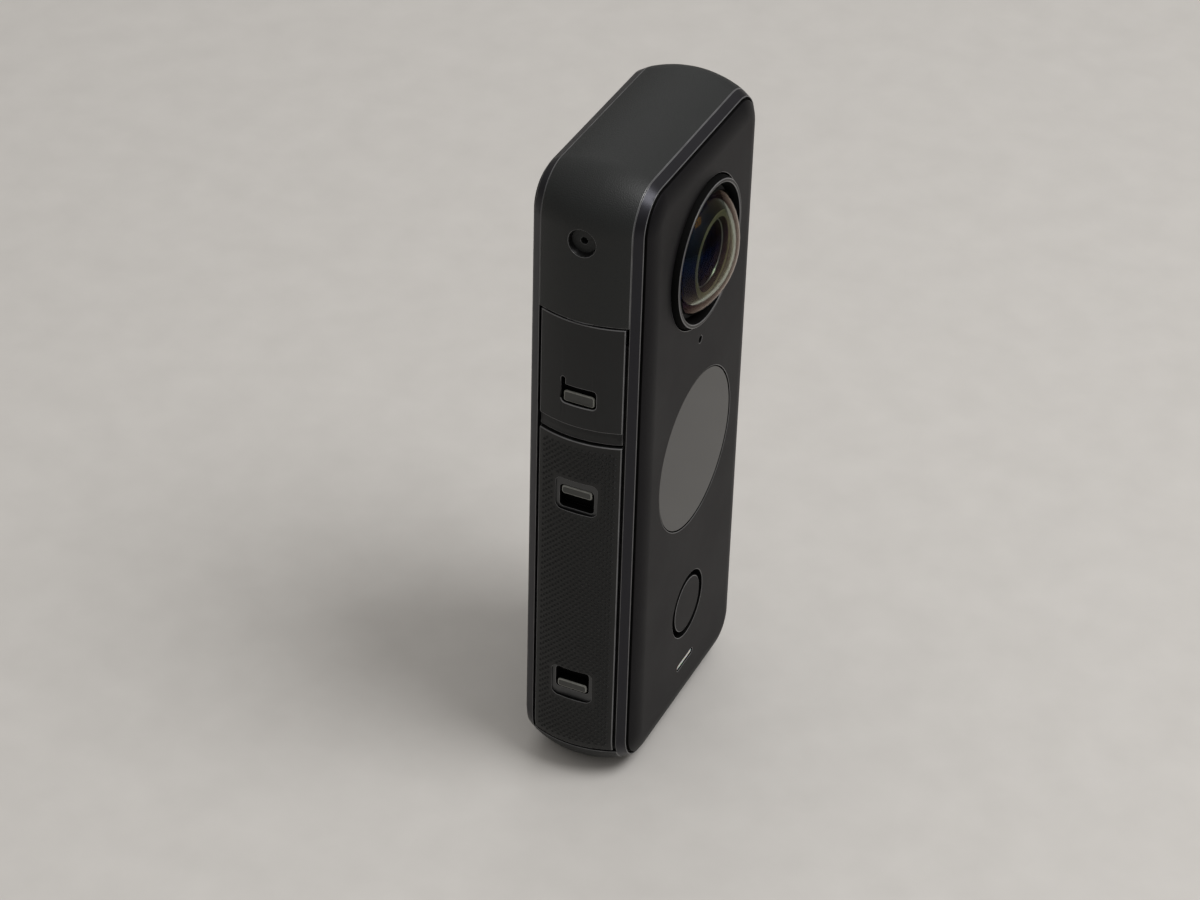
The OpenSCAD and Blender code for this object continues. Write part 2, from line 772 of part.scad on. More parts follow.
shield_gap = 0.3;
chip_x = -9;
chip_w = 12;
chip_up = 9.6;

module board_screws() {
    color("#c0c0bd") faced(rear) for (p = board_screw_at) translate([-p[0], p[1], tray_hd + board_t]) {
        cylinder(h = screw_head_t, r = screw_head_r);
        translate([0, 0, -screw_l]) cylinder(h = screw_l + screw_head_t / 2, r = screw_r);
    }
}

module usb_board() {
    x0 = -pocket_x + bay_end_t;
    color("#1f3d2b") span([x0, usb_w / 2, usb_z - usb_board_below],
        [x0 + usb_board_l, usb_w / 2 + usb_board_t, usb_z + usb_board_above]);
}
usb_board_l = 7;
usb_board_t = 0.8;
usb_board_below = 6.5;
usb_board_above = 5;

// Port shell with its tongue, mouth outwards
module usb_socket() {
    color("#b5b7b8") faced(left) translate([0, usb_z, pocket_x + usb_proud - usb_shell_l]) {
        difference() {
            obround(usb_w, usb_l, usb_shell_l);
            translate([0, 0, usb_back_t]) obround(usb_w - 2 * usb_wall, usb_l - 2 * usb_wall, usb_shell_l);
        }
        translate([-tongue_t / 2, -tongue_w / 2, usb_back_t]) cube([tongue_t, tongue_w, tongue_l]);
    }
}
usb_proud = 0.3;
usb_shell_l = 6.9;
usb_wall = 0.35;
usb_back_t = 0.6;
tongue_t = 0.7;
tongue_w = 6.6;
tongue_l = 4.6;

// Memory card socket above the battery bay, mouth behind the battery cover
module card_socket() {
    x0 = -flange_x + flange_t;
    color("#b5b7b8") difference() {
        span([x0 + fit, card_y - card_w / 2 - card_wall, card_z],
            [x0 + card_l, card_y + card_w / 2 + card_wall, card_z + card_t]);
        span([-hw, card_y - card_w / 2, card_z + card_floor],
            [x0 + card_l - card_back, card_y + card_w / 2, card_z + card_floor + card_slot]);
    }
}

module contact_block() {
    color("#c8a95a") {
        span([tray_end_x, -block_hd, bay_mid_z - block_hh],
            [tray_end_x + block_t, block_hd, bay_mid_z + block_hh]);
        for (k = contact_at) translate([case_end_x + terminal_t + fit, 0, k]) rotate([0, 90, 0])
            cylinder(h = tray_end_x - case_end_x, r = contact_r);
    }
}
block_hd = 3.2;
block_hh = 6.5;
block_t = 1.8;
terminal_t = 0.2;
terminal_hd = 1.6;
terminal_hh = 0.9;

module speaker() {
    color("#5d5e60") faced(right) span([-speaker_half, speaker_z - speaker_half, cavity_x - speaker_t],
        [speaker_half, speaker_z + speaker_half, cavity_x]);
}
speaker_half = 4;
speaker_t = 2.6;

module wifi_antenna() {
    color("#b88a3f") faced(front) span([-path_x, cavity_top - antenna_t, antenna_d],
        [path_x, cavity_top, antenna_d + antenna_w]);
}
antenna_t = 0.3;
antenna_d = 3.2;
antenna_w = 3.6;

// Power button and its switch

module power_button() {
    color("#2f3030") faced(right) translate([0, power_z, power_flange_x]) {
        obround(power_w, power_l, hw + power_proud - power_flange_x);
        obround(power_w + 2 * power_lap, power_l + 2 * power_lap, power_flange_t);
    }
}
power_lap = 0.8;
power_flange_t = 0.8;
power_flange_x = cavity_x - power_flange_t - 2 * fit;

module power_switch() {
    stem_x = power_flange_x - power_travel - fit;
    color("#8d8f90") faced(right) translate([0, power_z, post_x + post_t]) {
        translate([-switch_w / 2, -switch_l / 2, 0]) cube([switch_w, switch_l, switch_t]);
        cylinder(h = stem_x - post_x - post_t, r = switch_stem_r);
    }
}
switch_w = 4.4;
switch_l = 6;
switch_t = 1.4;
switch_stem_r = 1.2;

// Battery, which slides out of the left side

// A latch window through a side panel, face-on at the given height
module latch_window(z, h) {
    translate([0, z, 0]) rounded_block(window_w, h, window_r, hw + cut);
}
window_r = 0.7;

module battery_cover() {
    color("#2f3030") difference() {
        side_panel(left, panel_z0, panel_z1, panel_in_x);
        faced(left) for (k = [[upper_latch_z, 1], [lower_latch_z, -1]]) {
            latch_window(k[0], window_h);
            // smooth sunk frame round the window, longer on the side away from the other latch
            translate([0, k[0] + k[1] * frame_shift, hw - window_sag - frame_d])
                rounded_block(window_w + frame_w, window_h + frame_h, frame_r, cut);
        }
    }
}
frame_d = 0.25;
frame_w = 1.3;
frame_h = 1.8;
frame_r = 1.1;
frame_shift = 0.6;

module battery_case() {
    color("#1b1c1d") difference() {
        span([-panel_in_x, -case_hd, case_z0], [case_end_x, case_hd, case_z1]);
        span([-hw, -case_hd + battery_wall, case_z0 + battery_wall],
            [case_end_x - battery_wall, case_hd - battery_wall, case_z1 - battery_wall]);
        // slots for the two latch bolts
        for (z = [case_z0, case_z1])
            span([-hw, -bolt_hw - slip, z - cut],
                [-panel_in_x + latch_t + 2 * slip, bolt_hw + slip, z + cut]);
    }
}

module battery_cell() {
    color("#6c7076") span([cell_x0, -case_hd + battery_wall + fit, case_z0 + battery_wall + fit],
        [case_end_x - battery_wall, case_hd - battery_wall - fit, case_z1 - battery_wall - fit]);
}

module battery_seal() {
    color("#b5502a") faced(left) translate([0, bay_mid_z, flange_x + seal_lift])
        rounded_ring(2 * (bay_hd + seal_side + seal_w), bay_z1 - bay_z0 + 2 * (seal_end + seal_w),
            seal_r, seal_w, panel_in_x - flange_x - seal_lift);
}
seal_r = 2;

module battery_terminals() {
    color("#d3b15c") for (k = contact_at)
        span([case_end_x, -terminal_hd, k - terminal_hh],
            [case_end_x + terminal_t, terminal_hd, k + terminal_hh]);
}

// Sliding latch behind a battery window: carrier plate, finger tab and bolt; way is +1 for the upper one
module battery_latch(z, way, bolt_z) {
    plate_z = [z - way * latch_tail, z + way * latch_head];
    tab_z = [z + way * (window_h / 2 - slip - tab_h), z + way * (window_h / 2 - slip)];
    x0 = panel_in_x - slip - latch_t;
    color("#3d3e3f") faced(left) {
        span([-latch_hw, min(plate_z), x0], [latch_hw, max(plate_z), x0 + latch_t]);
        span([-bolt_hw, min(plate_z[1] - way, bolt_z), x0],
            [bolt_hw, max(plate_z[1] - way, bolt_z), x0 + latch_t]);
        translate([0, (tab_z[0] + tab_z[1]) / 2, x0])
            rounded_block(window_w - 2 * tab_gap, tab_h, tab_r, hw - window_sag - tab_proud - x0);
    }
}
latch_tail = 2.9;
latch_head = 5;
tab_gap = 0.35;
tab_r = 0.5;

module upper_latch() {
    battery_latch(upper_latch_z, 1, case_z1 + bolt_reach);
}

module lower_latch() {
    battery_latch(lower_latch_z, -1, case_z0 - bolt_reach);
}

// Port door, hinged at its head

module port_door() {
    window_z = door_z0 + door_window_up;
    color("#343535") difference() {
        union() {
            side_panel(left, door_z0 + door_lip_h, door_z1, door_in_x);
            // finger lip, set back from the door
            translate([door_lip_d, 0, 0])
                side_panel(left, door_z0, door_z0 + door_lip_h + fit, door_in_x + door_lip_d);
        }
        faced(left) {
            latch_window(window_z, door_window_h);
            // small slot beside the window, and the room for the latch behind it
            translate([-window_w / 2 + door_slot_w / 2, window_z + door_window_h / 2 + door_slot_up, 0])
                obround(door_slot_w, door_slot_l, hw + cut);
            span([-latch_hw - slip, door_latch_z0 - 2 * fit, 0],
                [latch_hw + slip, door_latch_z1 + door_latch_travel + 2 * fit, door_latch_x + slip]);
        }
        // room for the hinge lug, and the bore for its pin
        translate([-hinge_x, 0, hinge_z]) rotate([90, 0, 0]) {
            cylinder(h = 2 * lug_pocket_hw, r = lug_r + slip, center = true);
            cylinder(h = 2 * pin_hl, r = hinge_pin_r + pin_fit, center = true);
        }
        span([-hinge_x - lug_r - slip, -lug_pocket_hw, hinge_z], [0, lug_pocket_hw, door_z1 + cut]);
        span([-hinge_x, -lug_pocket_hw, hinge_z - lug_room], [0, lug_pocket_hw, door_z1 + cut]);
    }
}
lug_room = 1.2;
door_slot_w = 0.7;
door_slot_l = 1.8;
door_slot_up = 0.4;
door_latch_in = 1.15;
door_latch_x = hw - door_latch_in;
door_latch_up = 2.7;
door_latch_h = 9.1;
door_latch_z0 = door_z0 + door_latch_up;
door_latch_z1 = door_latch_z0 + door_latch_h;

module port_door_liner() {
    color("#1b1c1d") faced(left) translate([0, (liner_z0 + liner_z1) / 2, door_in_x - liner_t])
        rounded_block(liner_w, liner_z1 - liner_z0, liner_r, liner_t);
}
liner_w = 9.6;
liner_t = 0.35;
liner_r = 1.2;
liner_up = 2.2;
liner_drop = 3.35;
liner_z0 = door_z0 + liner_up;
liner_z1 = hinge_z - liner_drop;

module port_door_seal() {
    ring = 2 * (seal_w + fit);
    color("#b5502a") faced(left) translate([0, (liner_z0 + liner_z1) / 2, flange_x + seal_lift])
        rounded_ring(liner_w + ring, liner_z1 - liner_z0 + ring, liner_r + seal_w + fit, seal_w,
            door_in_x - flange_x - seal_lift);
}

module port_door_latch() {
    window_z = door_z0 + door_window_up;
    tab_z = window_z - door_window_h / 2 + 2 * fit + door_tab_h / 2;
    color("#3d3e3f") faced(left) {
        span([-latch_hw, door_latch_z0, door_in_x + fit], [latch_hw, door_latch_z1, door_latch_x]);
        translate([0, tab_z, door_in_x + fit])
            rounded_block(window_w - 2 * tab_gap, door_tab_h, tab_r,
                hw - window_sag - tab_proud - door_in_x);
    }
}

module port_hinge_pin() {
    color("#c0c0bd") translate([-hinge_x, 0, hinge_z]) rotate([90, 0, 0])
        cylinder(h = 2 * pin_hl - 2 * fit, r = hinge_pin_r, center = true);
}

main_shell();
bezel(front);  // front_bezel
bezel(rear);  // rear_bezel
front_plate();
rear_plate();
right_grip();
foot_plate();
tripod_insert();
lens_ring(front);  // front_lens_ring
lens_ring(rear);  // rear_lens_ring
lens_dome(front);  // front_lens_dome
lens_dome(rear);  // rear_lens_dome
lens_gasket(front);  // front_lens_gasket
lens_gasket(rear);  // rear_lens_gasket
lens_barrel(front);  // front_lens_barrel
lens_barrel(rear);  // rear_lens_barrel
inner_lens(front);  // front_inner_lens
inner_lens(rear);  // rear_inner_lens
image_sensor(front);  // front_image_sensor
image_sensor(rear);  // rear_image_sensor
sensor_board(front);  // front_sensor_board
sensor_board(rear);  // rear_sensor_board
heat_spreader();
lens_carrier();
screen_glass();
display_panel();
shutter_button();
shutter_switch();
status_light();
plate_microphone(front);  // front_microphone
plate_microphone(rear);  // rear_microphone
side_microphone(left);  // left_microphone
side_microphone(right);  // right_microphone
battery_tray();
main_board();
board_screws();
usb_board();
usb_socket();
card_socket();
contact_block();
speaker();
wifi_antenna();
power_button();
power_switch();
battery_cover();
battery_case();
battery_cell();
battery_seal();
battery_terminals();
upper_latch();
lower_latch();
port_door();
port_door_liner();
port_door_latch();
port_door_seal();
port_hinge_pin();
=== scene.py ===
"""Looks of a pocket 360 degree camera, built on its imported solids."""
import json
import math

import bmesh
import bpy
from mathutils import Matrix, Vector


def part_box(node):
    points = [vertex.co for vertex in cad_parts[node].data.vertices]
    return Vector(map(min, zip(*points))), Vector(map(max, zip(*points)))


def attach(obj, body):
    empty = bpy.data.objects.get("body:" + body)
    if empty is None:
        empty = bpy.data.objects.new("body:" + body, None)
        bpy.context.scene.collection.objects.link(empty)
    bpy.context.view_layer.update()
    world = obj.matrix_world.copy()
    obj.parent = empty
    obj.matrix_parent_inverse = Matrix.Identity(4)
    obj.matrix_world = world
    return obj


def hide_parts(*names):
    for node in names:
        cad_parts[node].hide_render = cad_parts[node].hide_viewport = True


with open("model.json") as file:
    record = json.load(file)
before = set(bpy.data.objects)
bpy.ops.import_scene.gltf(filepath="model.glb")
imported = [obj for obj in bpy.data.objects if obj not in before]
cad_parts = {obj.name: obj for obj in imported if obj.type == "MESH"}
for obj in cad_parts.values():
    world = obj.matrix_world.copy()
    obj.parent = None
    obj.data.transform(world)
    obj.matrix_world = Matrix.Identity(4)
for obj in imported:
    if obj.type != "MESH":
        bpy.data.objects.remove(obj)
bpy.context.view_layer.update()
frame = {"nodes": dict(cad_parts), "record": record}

# INNER FRAME
# The tray that holds the battery, the ports and the boards, with the battery case and the liner of the
# port door. All are injection moulded in black glass-filled nylon and screwed or clipped into the shell.

mm = 0.001


def linear(colour):
    """Turns an sRGB hex colour into the linear colour of a shader socket."""
    parts = [int(colour[i:i + 2], 16) / 255 for i in (1, 3, 5)]
    return [p / 12.92 if p < 0.04045 else ((p + 0.055) / 1.055) ** 2.4 for p in parts] + [1]


def add_node(surface, kind, inputs, **settings):
    """Adds a shader node, with its settings, and with values or other nodes' outputs in its sockets."""
    node = surface.node_tree.nodes.new("ShaderNode" + kind)
    for name, value in settings.items():
        setattr(node, name, value)
    for socket, value in inputs.items():
        if isinstance(value, bpy.types.NodeSocket):
            surface.node_tree.links.new(value, node.inputs[socket])
        else:
            node.inputs[socket].default_value = value
    return node


def new_surface(name):
    """An empty material that nodes are added to."""
    surface = bpy.data.materials.new(name)
    surface.use_nodes = True
    surface.node_tree.nodes.clear()
    return surface


def dress(surface, *nodes):
    """Gives a surface to CAD pieces that keep their own shape."""
    for name in nodes:
        for slot in frame["nodes"][name].material_slots:
            slot.material = surface


# Glass-filled nylon moulds with a dull skin and short pale fibre streaks, about half a millimetre long.
nylon = new_surface("glass_filled_nylon")
where = add_node(nylon, "TexCoord", {}).outputs["Object"]
fibre = add_node(nylon, "TexNoise", {"Vector": where, "Scale": 1 / (0.5 * mm), "Detail": 3}).outputs["Fac"]
tone = add_node(nylon, "Mix", {0: fibre, 6: linear("#131314"), 7: linear("#222224")}, data_type="RGBA")
relief = add_node(nylon, "Bump", {"Height": fibre, "Strength": 0.5, "Distance": 0.02 * mm})
skin = add_node(nylon, "BsdfPrincipled", {"Base Color": tone.outputs[2], "Roughness": 0.6, "IOR": 1.53,
                                          "Normal": relief.outputs["Normal"]})
add_node(nylon, "OutputMaterial", {"Surface": skin.outputs["BSDF"]})
dress(nylon, "battery_tray", "battery_case", "port_door_liner")

# BOARDS
# The main board on the rear of the tray, the board of the port and the round boards of the two image
# sensors. Each is glass-fibre laminate under a green solder mask, with copper tracks that show through.

solder_mask = new_surface("green_solder_mask")
where = add_node(solder_mask, "TexCoord", {}).outputs["Object"]
# tracks 0.35 mm apart, wandering a little
track = add_node(solder_mask, "TexWave", {"Vector": where, "Scale": 0.31 / (0.7 * mm), "Distortion": 9,
                                          "Detail": 1, "Detail Scale": 0.4}).outputs["Fac"]
tone = add_node(solder_mask, "Mix", {0: track, 6: linear("#16382a"), 7: linear("#28573c")}, data_type="RGBA")
relief = add_node(solder_mask, "Bump", {"Height": track, "Strength": 0.4, "Distance": 0.03 * mm})
skin = add_node(solder_mask, "BsdfPrincipled", {"Base Color": tone.outputs[2], "Roughness": 0.32,
                                                "Normal": relief.outputs["Normal"]})
add_node(solder_mask, "OutputMaterial", {"Surface": skin.outputs["BSDF"]})
dress(solder_mask, "main_board", "usb_board", "front_sensor_board", "rear_sensor_board")

# SHEET METAL AND SWITCHES
# The shells of the port and card sockets, the tactile switches, the board screws and the hinge pin of
# the port door: stainless steel, stamped or turned, with fine rolling lines along the sheet.

stainless = new_surface("rolled_stainless_steel")
where = add_node(stainless, "TexCoord", {}).outputs["Object"]
along = add_node(stainless, "Mapping", {"Vector": where, "Scale": (1, 1, 0.06)}).outputs["Vector"]
line = add_node(stainless, "TexNoise", {"Vector": along, "Scale": 1 / (0.15 * mm),
                                        "Detail": 2}).outputs["Fac"]
tone = add_node(stainless, "Mix", {0: line, 6: linear("#a3a4a2"), 7: linear("#c9c9c6")}, data_type="RGBA")
gloss = add_node(stainless, "MapRange", {"Value": line, "To Min": 0.24, "To Max": 0.42}).outputs["Result"]
skin = add_node(stainless, "BsdfPrincipled", {"Base Color": tone.outputs[2], "Metallic": 1,
                                              "Roughness": gloss})
add_node(stainless, "OutputMaterial", {"Surface": skin.outputs["BSDF"]})
dress(stainless, "usb_socket", "card_socket", "shutter_switch", "power_switch", "board_screws",
      "port_hinge_pin")

# CONTACTS
# The spring contacts behind the bay, the terminals on the battery and the antenna foil: brass or
# copper with a thin gold plating, which is bright and slightly cloudy.

gold_plate = new_surface("gold_plated_brass")
where = add_node(gold_plate, "TexCoord", {}).outputs["Object"]
cloud = add_node(gold_plate, "TexNoise", {"Vector": where, "Scale": 1 / (0.8 * mm),
                                          "Detail": 4}).outputs["Fac"]
tone = add_node(gold_plate, "Mix", {0: cloud, 6: linear("#b98f45"), 7: linear("#dcb567")}, data_type="RGBA")
gloss = add_node(gold_plate, "MapRange", {"Value": cloud, "To Min": 0.18, "To Max": 0.36}).outputs["Result"]
skin = add_node(gold_plate, "BsdfPrincipled", {"Base Color": tone.outputs[2], "Metallic": 1,
                                               "Roughness": gloss})
add_node(gold_plate, "OutputMaterial", {"Surface": skin.outputs["BSDF"]})
dress(gold_plate, "contact_block", "battery_terminals", "wifi_antenna")

# LENS CARRIER, HEAT SPREADER AND CELL
# The round carrier is die-cast aluminium, the spreader between the sensors is aluminium sheet, and the
# lithium cell is wrapped in aluminium foil. All three are bare, grey and a little mottled.

bare_aluminium = new_surface("bare_cast_aluminium")
where = add_node(bare_aluminium, "TexCoord", {}).outputs["Object"]
mottle = add_node(bare_aluminium, "TexNoise", {"Vector": where, "Scale": 1 / (1.2 * mm),
                                               "Detail": 5}).outputs["Fac"]
tone = add_node(bare_aluminium, "Mix", {0: mottle, 6: linear("#8e9092"), 7: linear("#b4b5b6")},
                data_type="RGBA")
gloss = add_node(bare_aluminium, "MapRange", {"Value": mottle, "To Min": 0.35,
                                              "To Max": 0.55}).outputs["Result"]
relief = add_node(bare_aluminium, "Bump", {"Height": mottle, "Strength": 0.4, "Distance": 0.03 * mm})
skin = add_node(bare_aluminium, "BsdfPrincipled", {"Base Color": tone.outputs[2], "Metallic": 1,
                                                   "Roughness": gloss, "Normal": relief.outputs["Normal"]})
add_node(bare_aluminium, "OutputMaterial", {"Surface": skin.outputs["BSDF"]})
dress(bare_aluminium, "lens_carrier", "heat_spreader", "battery_cell")

# IMAGE SENSORS
# A silicon sensor under a cover glass behind each lens. Its rows of micro-lenses split light, so the
# dark square gleams green to violet.

silicon = new_surface("image_sensor_silicon")
where = add_node(silicon, "TexCoord", {}).outputs["Object"]
rows = add_node(silicon, "TexWave", {"Vector": where, "Scale": 0.31 / (0.4 * mm)}).outputs["Fac"]
tone = add_node(silicon, "Mix", {0: rows, 6: linear("#16221f"), 7: linear("#241c2e")}, data_type="RGBA")
skin = add_node(silicon, "BsdfPrincipled", {"Base Color": tone.outputs[2], "Roughness": 0.12, "IOR": 1.5,
                                            "Thin Film Thickness": 480, "Thin Film IOR": 1.9})
add_node(silicon, "OutputMaterial", {"Surface": skin.outputs["BSDF"]})
dress(silicon, "front_image_sensor", "rear_image_sensor")

# SEALS
# The gaskets under the glass domes and the rings that keep water out of the battery bay and the port:
# moulded silicone rubber, soft and dull, with a trace of mould powder.

silicone = new_surface("moulded_silicone_rubber")
where = add_node(silicone, "TexCoord", {}).outputs["Object"]
powder = add_node(silicone, "TexNoise", {"Vector": where, "Scale": 1 / (0.4 * mm),
                                         "Detail": 4}).outputs["Fac"]
tone = add_node(silicone, "Mix", {0: powder, 6: linear("#8a3a1d"), 7: linear("#a4502f")}, data_type="RGBA")
relief = add_node(silicone, "Bump", {"Height": powder, "Strength": 0.4, "Distance": 0.01 * mm})
skin = add_node(silicone, "BsdfPrincipled", {"Base Color": tone.outputs[2], "Roughness": 0.68, "IOR": 1.41,
                                             "Normal": relief.outputs["Normal"]})
add_node(silicone, "OutputMaterial", {"Surface": skin.outputs["BSDF"]})
dress(silicone, "battery_seal", "port_door_seal")

# The lens gaskets are the same rubber dyed black, so that no colour shows through the glass.
black_silicone = new_surface("black_silicone_rubber")
where = add_node(black_silicone, "TexCoord", {}).outputs["Object"]
powder = add_node(black_silicone, "TexNoise", {"Vector": where, "Scale": 1 / (0.4 * mm),
                                               "Detail": 4}).outputs["Fac"]
tone = add_node(black_silicone, "Mix", {0: powder, 6: linear("#0e0e0f"), 7: linear("#1b1b1c")},
                data_type="RGBA")
skin = add_node(black_silicone, "BsdfPrincipled", {"Base Color": tone.outputs[2], "Roughness": 0.7,
                                                   "IOR": 1.41})
add_node(black_silicone, "OutputMaterial", {"Surface": skin.outputs["BSDF"]})
dress(black_silicone, "front_lens_gasket", "rear_lens_gasket")

# MICROPHONES AND SPEAKER
# Small cans behind the sound holes, each covered with black woven polyester that keeps dust out. The
# weave is about 0.2 mm, so a hole looks like a dark dot.

sound_mesh = new_surface("black_polyester_mesh")
where = add_node(sound_mesh, "TexCoord", {}).outputs["Object"]
weave = add_node(sound_mesh, "TexChecker", {"Vector": where, "Scale": 1 / (0.2 * mm)}).outputs["Fac"]
tone = add_node(sound_mesh, "Mix", {0: weave, 6: linear("#060606"), 7: linear("#121212")}, data_type="RGBA")
skin = add_node(sound_mesh, "BsdfPrincipled", {"Base Color": tone.outputs[2], "Roughness": 0.8})
add_node(sound_mesh, "OutputMaterial", {"Surface": skin.outputs["BSDF"]})
dress(sound_mesh, "front_microphone", "rear_microphone", "left_microphone", "right_microphone", "speaker")

# LENS BARRELS
# Two short barrels, back to back, turned from aluminium and anodised matt black. The cone under the
# dome is cut in fine steps that keep stray light from the sensor.

carried_by = {node: body for body, nodes in frame["record"]["behaviour"]["bodies"].items() for node in nodes}
faces = {"front": -1, "rear": 1}
lens_z = (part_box("front_lens_dome")[0].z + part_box("front_lens_dome")[1].z) / 2


def set_down(name, mesh_maker, surface, body):
    """Makes a finished shape into a piece that rides on a body."""
    mesh = bpy.data.meshes.new(name)
    mesh_maker.to_mesh(mesh)
    mesh_maker.free()
    mesh.materials.append(surface)
    piece = bpy.data.objects.new(name, mesh)
    bpy.context.scene.collection.objects.link(piece)
    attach(piece, body)
    return piece


def lathed(shape):
    """Spins the line of a shape once round the lens axis and closes it."""
    bmesh.ops.spin(shape, geom=shape.verts[:] + shape.edges[:], cent=(0, 0, lens_z), axis=(0, 1, 0),
                   angle=math.tau, steps=96, use_merge=True)
    bmesh.ops.remove_doubles(shape, verts=shape.verts, dist=0.001 * mm)
    bmesh.ops.recalc_face_normals(shape, faces=shape.faces)
    for face in shape.faces:
        face.smooth = True
    return shape


def turned(outline, way):
    """Turns a lens part on its axis from an open or closed line of radius and depth in millimetres."""
    shape = bmesh.new()
    points = [shape.verts.new((r * mm, way * d * mm, lens_z)) for r, d in outline]
    for a, b in zip(points, points[1:]):
        shape.edges.new((a, b))
    return lathed(shape)


def depths(node):
    """Gives a lens part's inner and outer depth from the camera's middle, and its radius, in millimetres."""
    low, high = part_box(node)
    inner, outer = sorted((abs(low.y) / mm, abs(high.y) / mm))
    return inner, outer, high.x / mm


# Matt black anodising is a dyed oxide: near black, dull, with the fine rings of the turning tool.
black_anodised = new_surface("matt_black_anodised_aluminium")
where = add_node(black_anodised, "TexCoord", {}).outputs["Object"]
ring = add_node(black_anodised, "TexNoise", {"Vector": where, "Scale": 1 / (0.3 * mm),
                                             "Detail": 3}).outputs["Fac"]
tone = add_node(black_anodised, "Mix", {0: ring, 6: linear("#060606"), 7: linear("#101010")},
                data_type="RGBA")
skin = add_node(black_anodised, "BsdfPrincipled", {"Base Color": tone.outputs[2], "Roughness": 0.6,
                                                   "Specular IOR Level": 0.25})
add_node(black_anodised, "OutputMaterial", {"Surface": skin.outputs["BSDF"]})

cone_r, cone_steps, step_in, step_down, riser, draft = 6.5, 5, 0.25, 0.32, 0.26, 0.02
bore_r, tube_r, flange_t, floor_t = 4, 9, 1.35, 0.7
for face, way in faces.items():
    foot, top, flange_r = depths(face + "_lens_barrel")
    line = [(cone_r, top)]
    for step in range(cone_steps):
        r, d = cone_r - step_in * step, top - step_down * step
        line += [(r - draft, d - riser), (r - step_in, d - step_down)]
    line += [(cone_r - step_in * cone_steps, foot + floor_t), (bore_r, foot + floor_t), (bore_r, foot),
             (tube_r, foot), (tube_r, top - flange_t), (flange_r, top - flange_t), (flange_r, top),
             (cone_r, top)]
    barrel = set_down(face + "_stepped_barrel", turned(line, way), black_anodised, "camera_body")
    barrel.data.set_sharp_from_angle(angle=math.radians(30))
    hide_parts(face + "_lens_barrel")

# INNER LENSES
# The second element, a domed glass lens cemented in each barrel. Its coating lets light into the dark
# barrel below, so it looks deep brown with an amber to violet gleam.

coated_glass = new_surface("coated_inner_glass")
where = add_node(coated_glass, "TexCoord", {}).outputs["Object"]
depth = add_node(coated_glass, "TexNoise", {"Vector": where, "Scale": 1 / (6 * mm),
                                            "Detail": 1}).outputs["Fac"]
# the lens is drawn opaque, and its deep brown colour is painted shade standing for the dark barrel seen
# through the glass
tone = add_node(coated_glass, "Mix", {0: depth, 6: linear("#0d0806"), 7: linear("#21150d")}, data_type="RGBA")
skin = add_node(coated_glass, "BsdfPrincipled", {"Base Color": tone.outputs[2], "Roughness": 0.03, "IOR": 1.7,
                                                 "Specular IOR Level": 0.3, "Thin Film Thickness": 110,
                                                 "Thin Film IOR": 1.38})
add_node(coated_glass, "OutputMaterial", {"Surface": skin.outputs["BSDF"]})

crown_r = 9
for face, way in faces.items():
    floor_depth, crown, lens_r = depths(face + "_inner_lens")
    shape = bmesh.new()
    tip = shape.verts.new((0, way * crown * mm, lens_z))
    rim = bmesh.ops.spin(shape, geom=[tip], cent=(0, way * (crown - crown_r) * mm, lens_z), axis=(0, 0, -way),
                         angle=math.asin(lens_r / crown_r), steps=12)["geom_last"][0]
    wall = bmesh.ops.extrude_vert_indiv(shape, verts=[rim])["verts"][0]
    wall.co.y = way * floor_depth * mm
    middle = bmesh.ops.extrude_vert_indiv(shape, verts=[wall])["verts"][0]
    middle.co.x = 0
    lens = set_down(face + "_coated_lens", lathed(shape), coated_glass, "camera_body")
    lens.data.set_sharp_from_angle(angle=math.radians(40))
    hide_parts(face + "_inner_lens")

# LENS RETAINERS
# A turned collar that stands on each barrel and fills the hollow of the dome round the second element. It
# is inked olive black, but its top is left champagne anodised and a steel spring ring inside catches light.

champagne = new_surface("champagne_anodised_aluminium")
where = add_node(champagne, "TexCoord", {}).outputs["Object"]
lathe_line = add_node(champagne, "TexNoise", {"Vector": where, "Scale": 1 / (0.25 * mm),
                                              "Detail": 2}).outputs["Fac"]
tone = add_node(champagne, "Mix", {0: lathe_line, 6: linear("#a89e82"), 7: linear("#ccc2a6")},
                data_type="RGBA")
skin = add_node(champagne, "BsdfPrincipled", {"Base Color": tone.outputs[2], "Metallic": 0.4,
                                              "Roughness": 0.4})
add_node(champagne, "OutputMaterial", {"Surface": skin.outputs["BSDF"]})

# The collar and the ground edge of the dome are brushed with dull ink, olive black, against stray light.
edge_ink = new_surface("lens_edge_ink")
where = add_node(edge_ink, "TexCoord", {}).outputs["Object"]
brush = add_node(edge_ink, "TexNoise", {"Vector": where, "Scale": 1 / (1.5 * mm), "Detail": 4}).outputs["Fac"]
tone = add_node(edge_ink, "Mix", {0: brush, 6: linear("#090a08"), 7: linear("#171814")}, data_type="RGBA")
skin = add_node(edge_ink, "BsdfPrincipled", {"Base Color": tone.outputs[2], "Roughness": 0.6})
add_node(edge_ink, "OutputMaterial", {"Surface": skin.outputs["BSDF"]})


def repaint(piece, surface, wanted):
    """Gives a surface to the faces of a piece whose middle, in millimetres, and direction are wanted."""
    if surface.name not in piece.data.materials:
        piece.data.materials.append(surface)
    for side in piece.data.polygons:
        if wanted(side.center / mm, side.normal):
            side.material_index = piece.data.materials.find(surface.name)


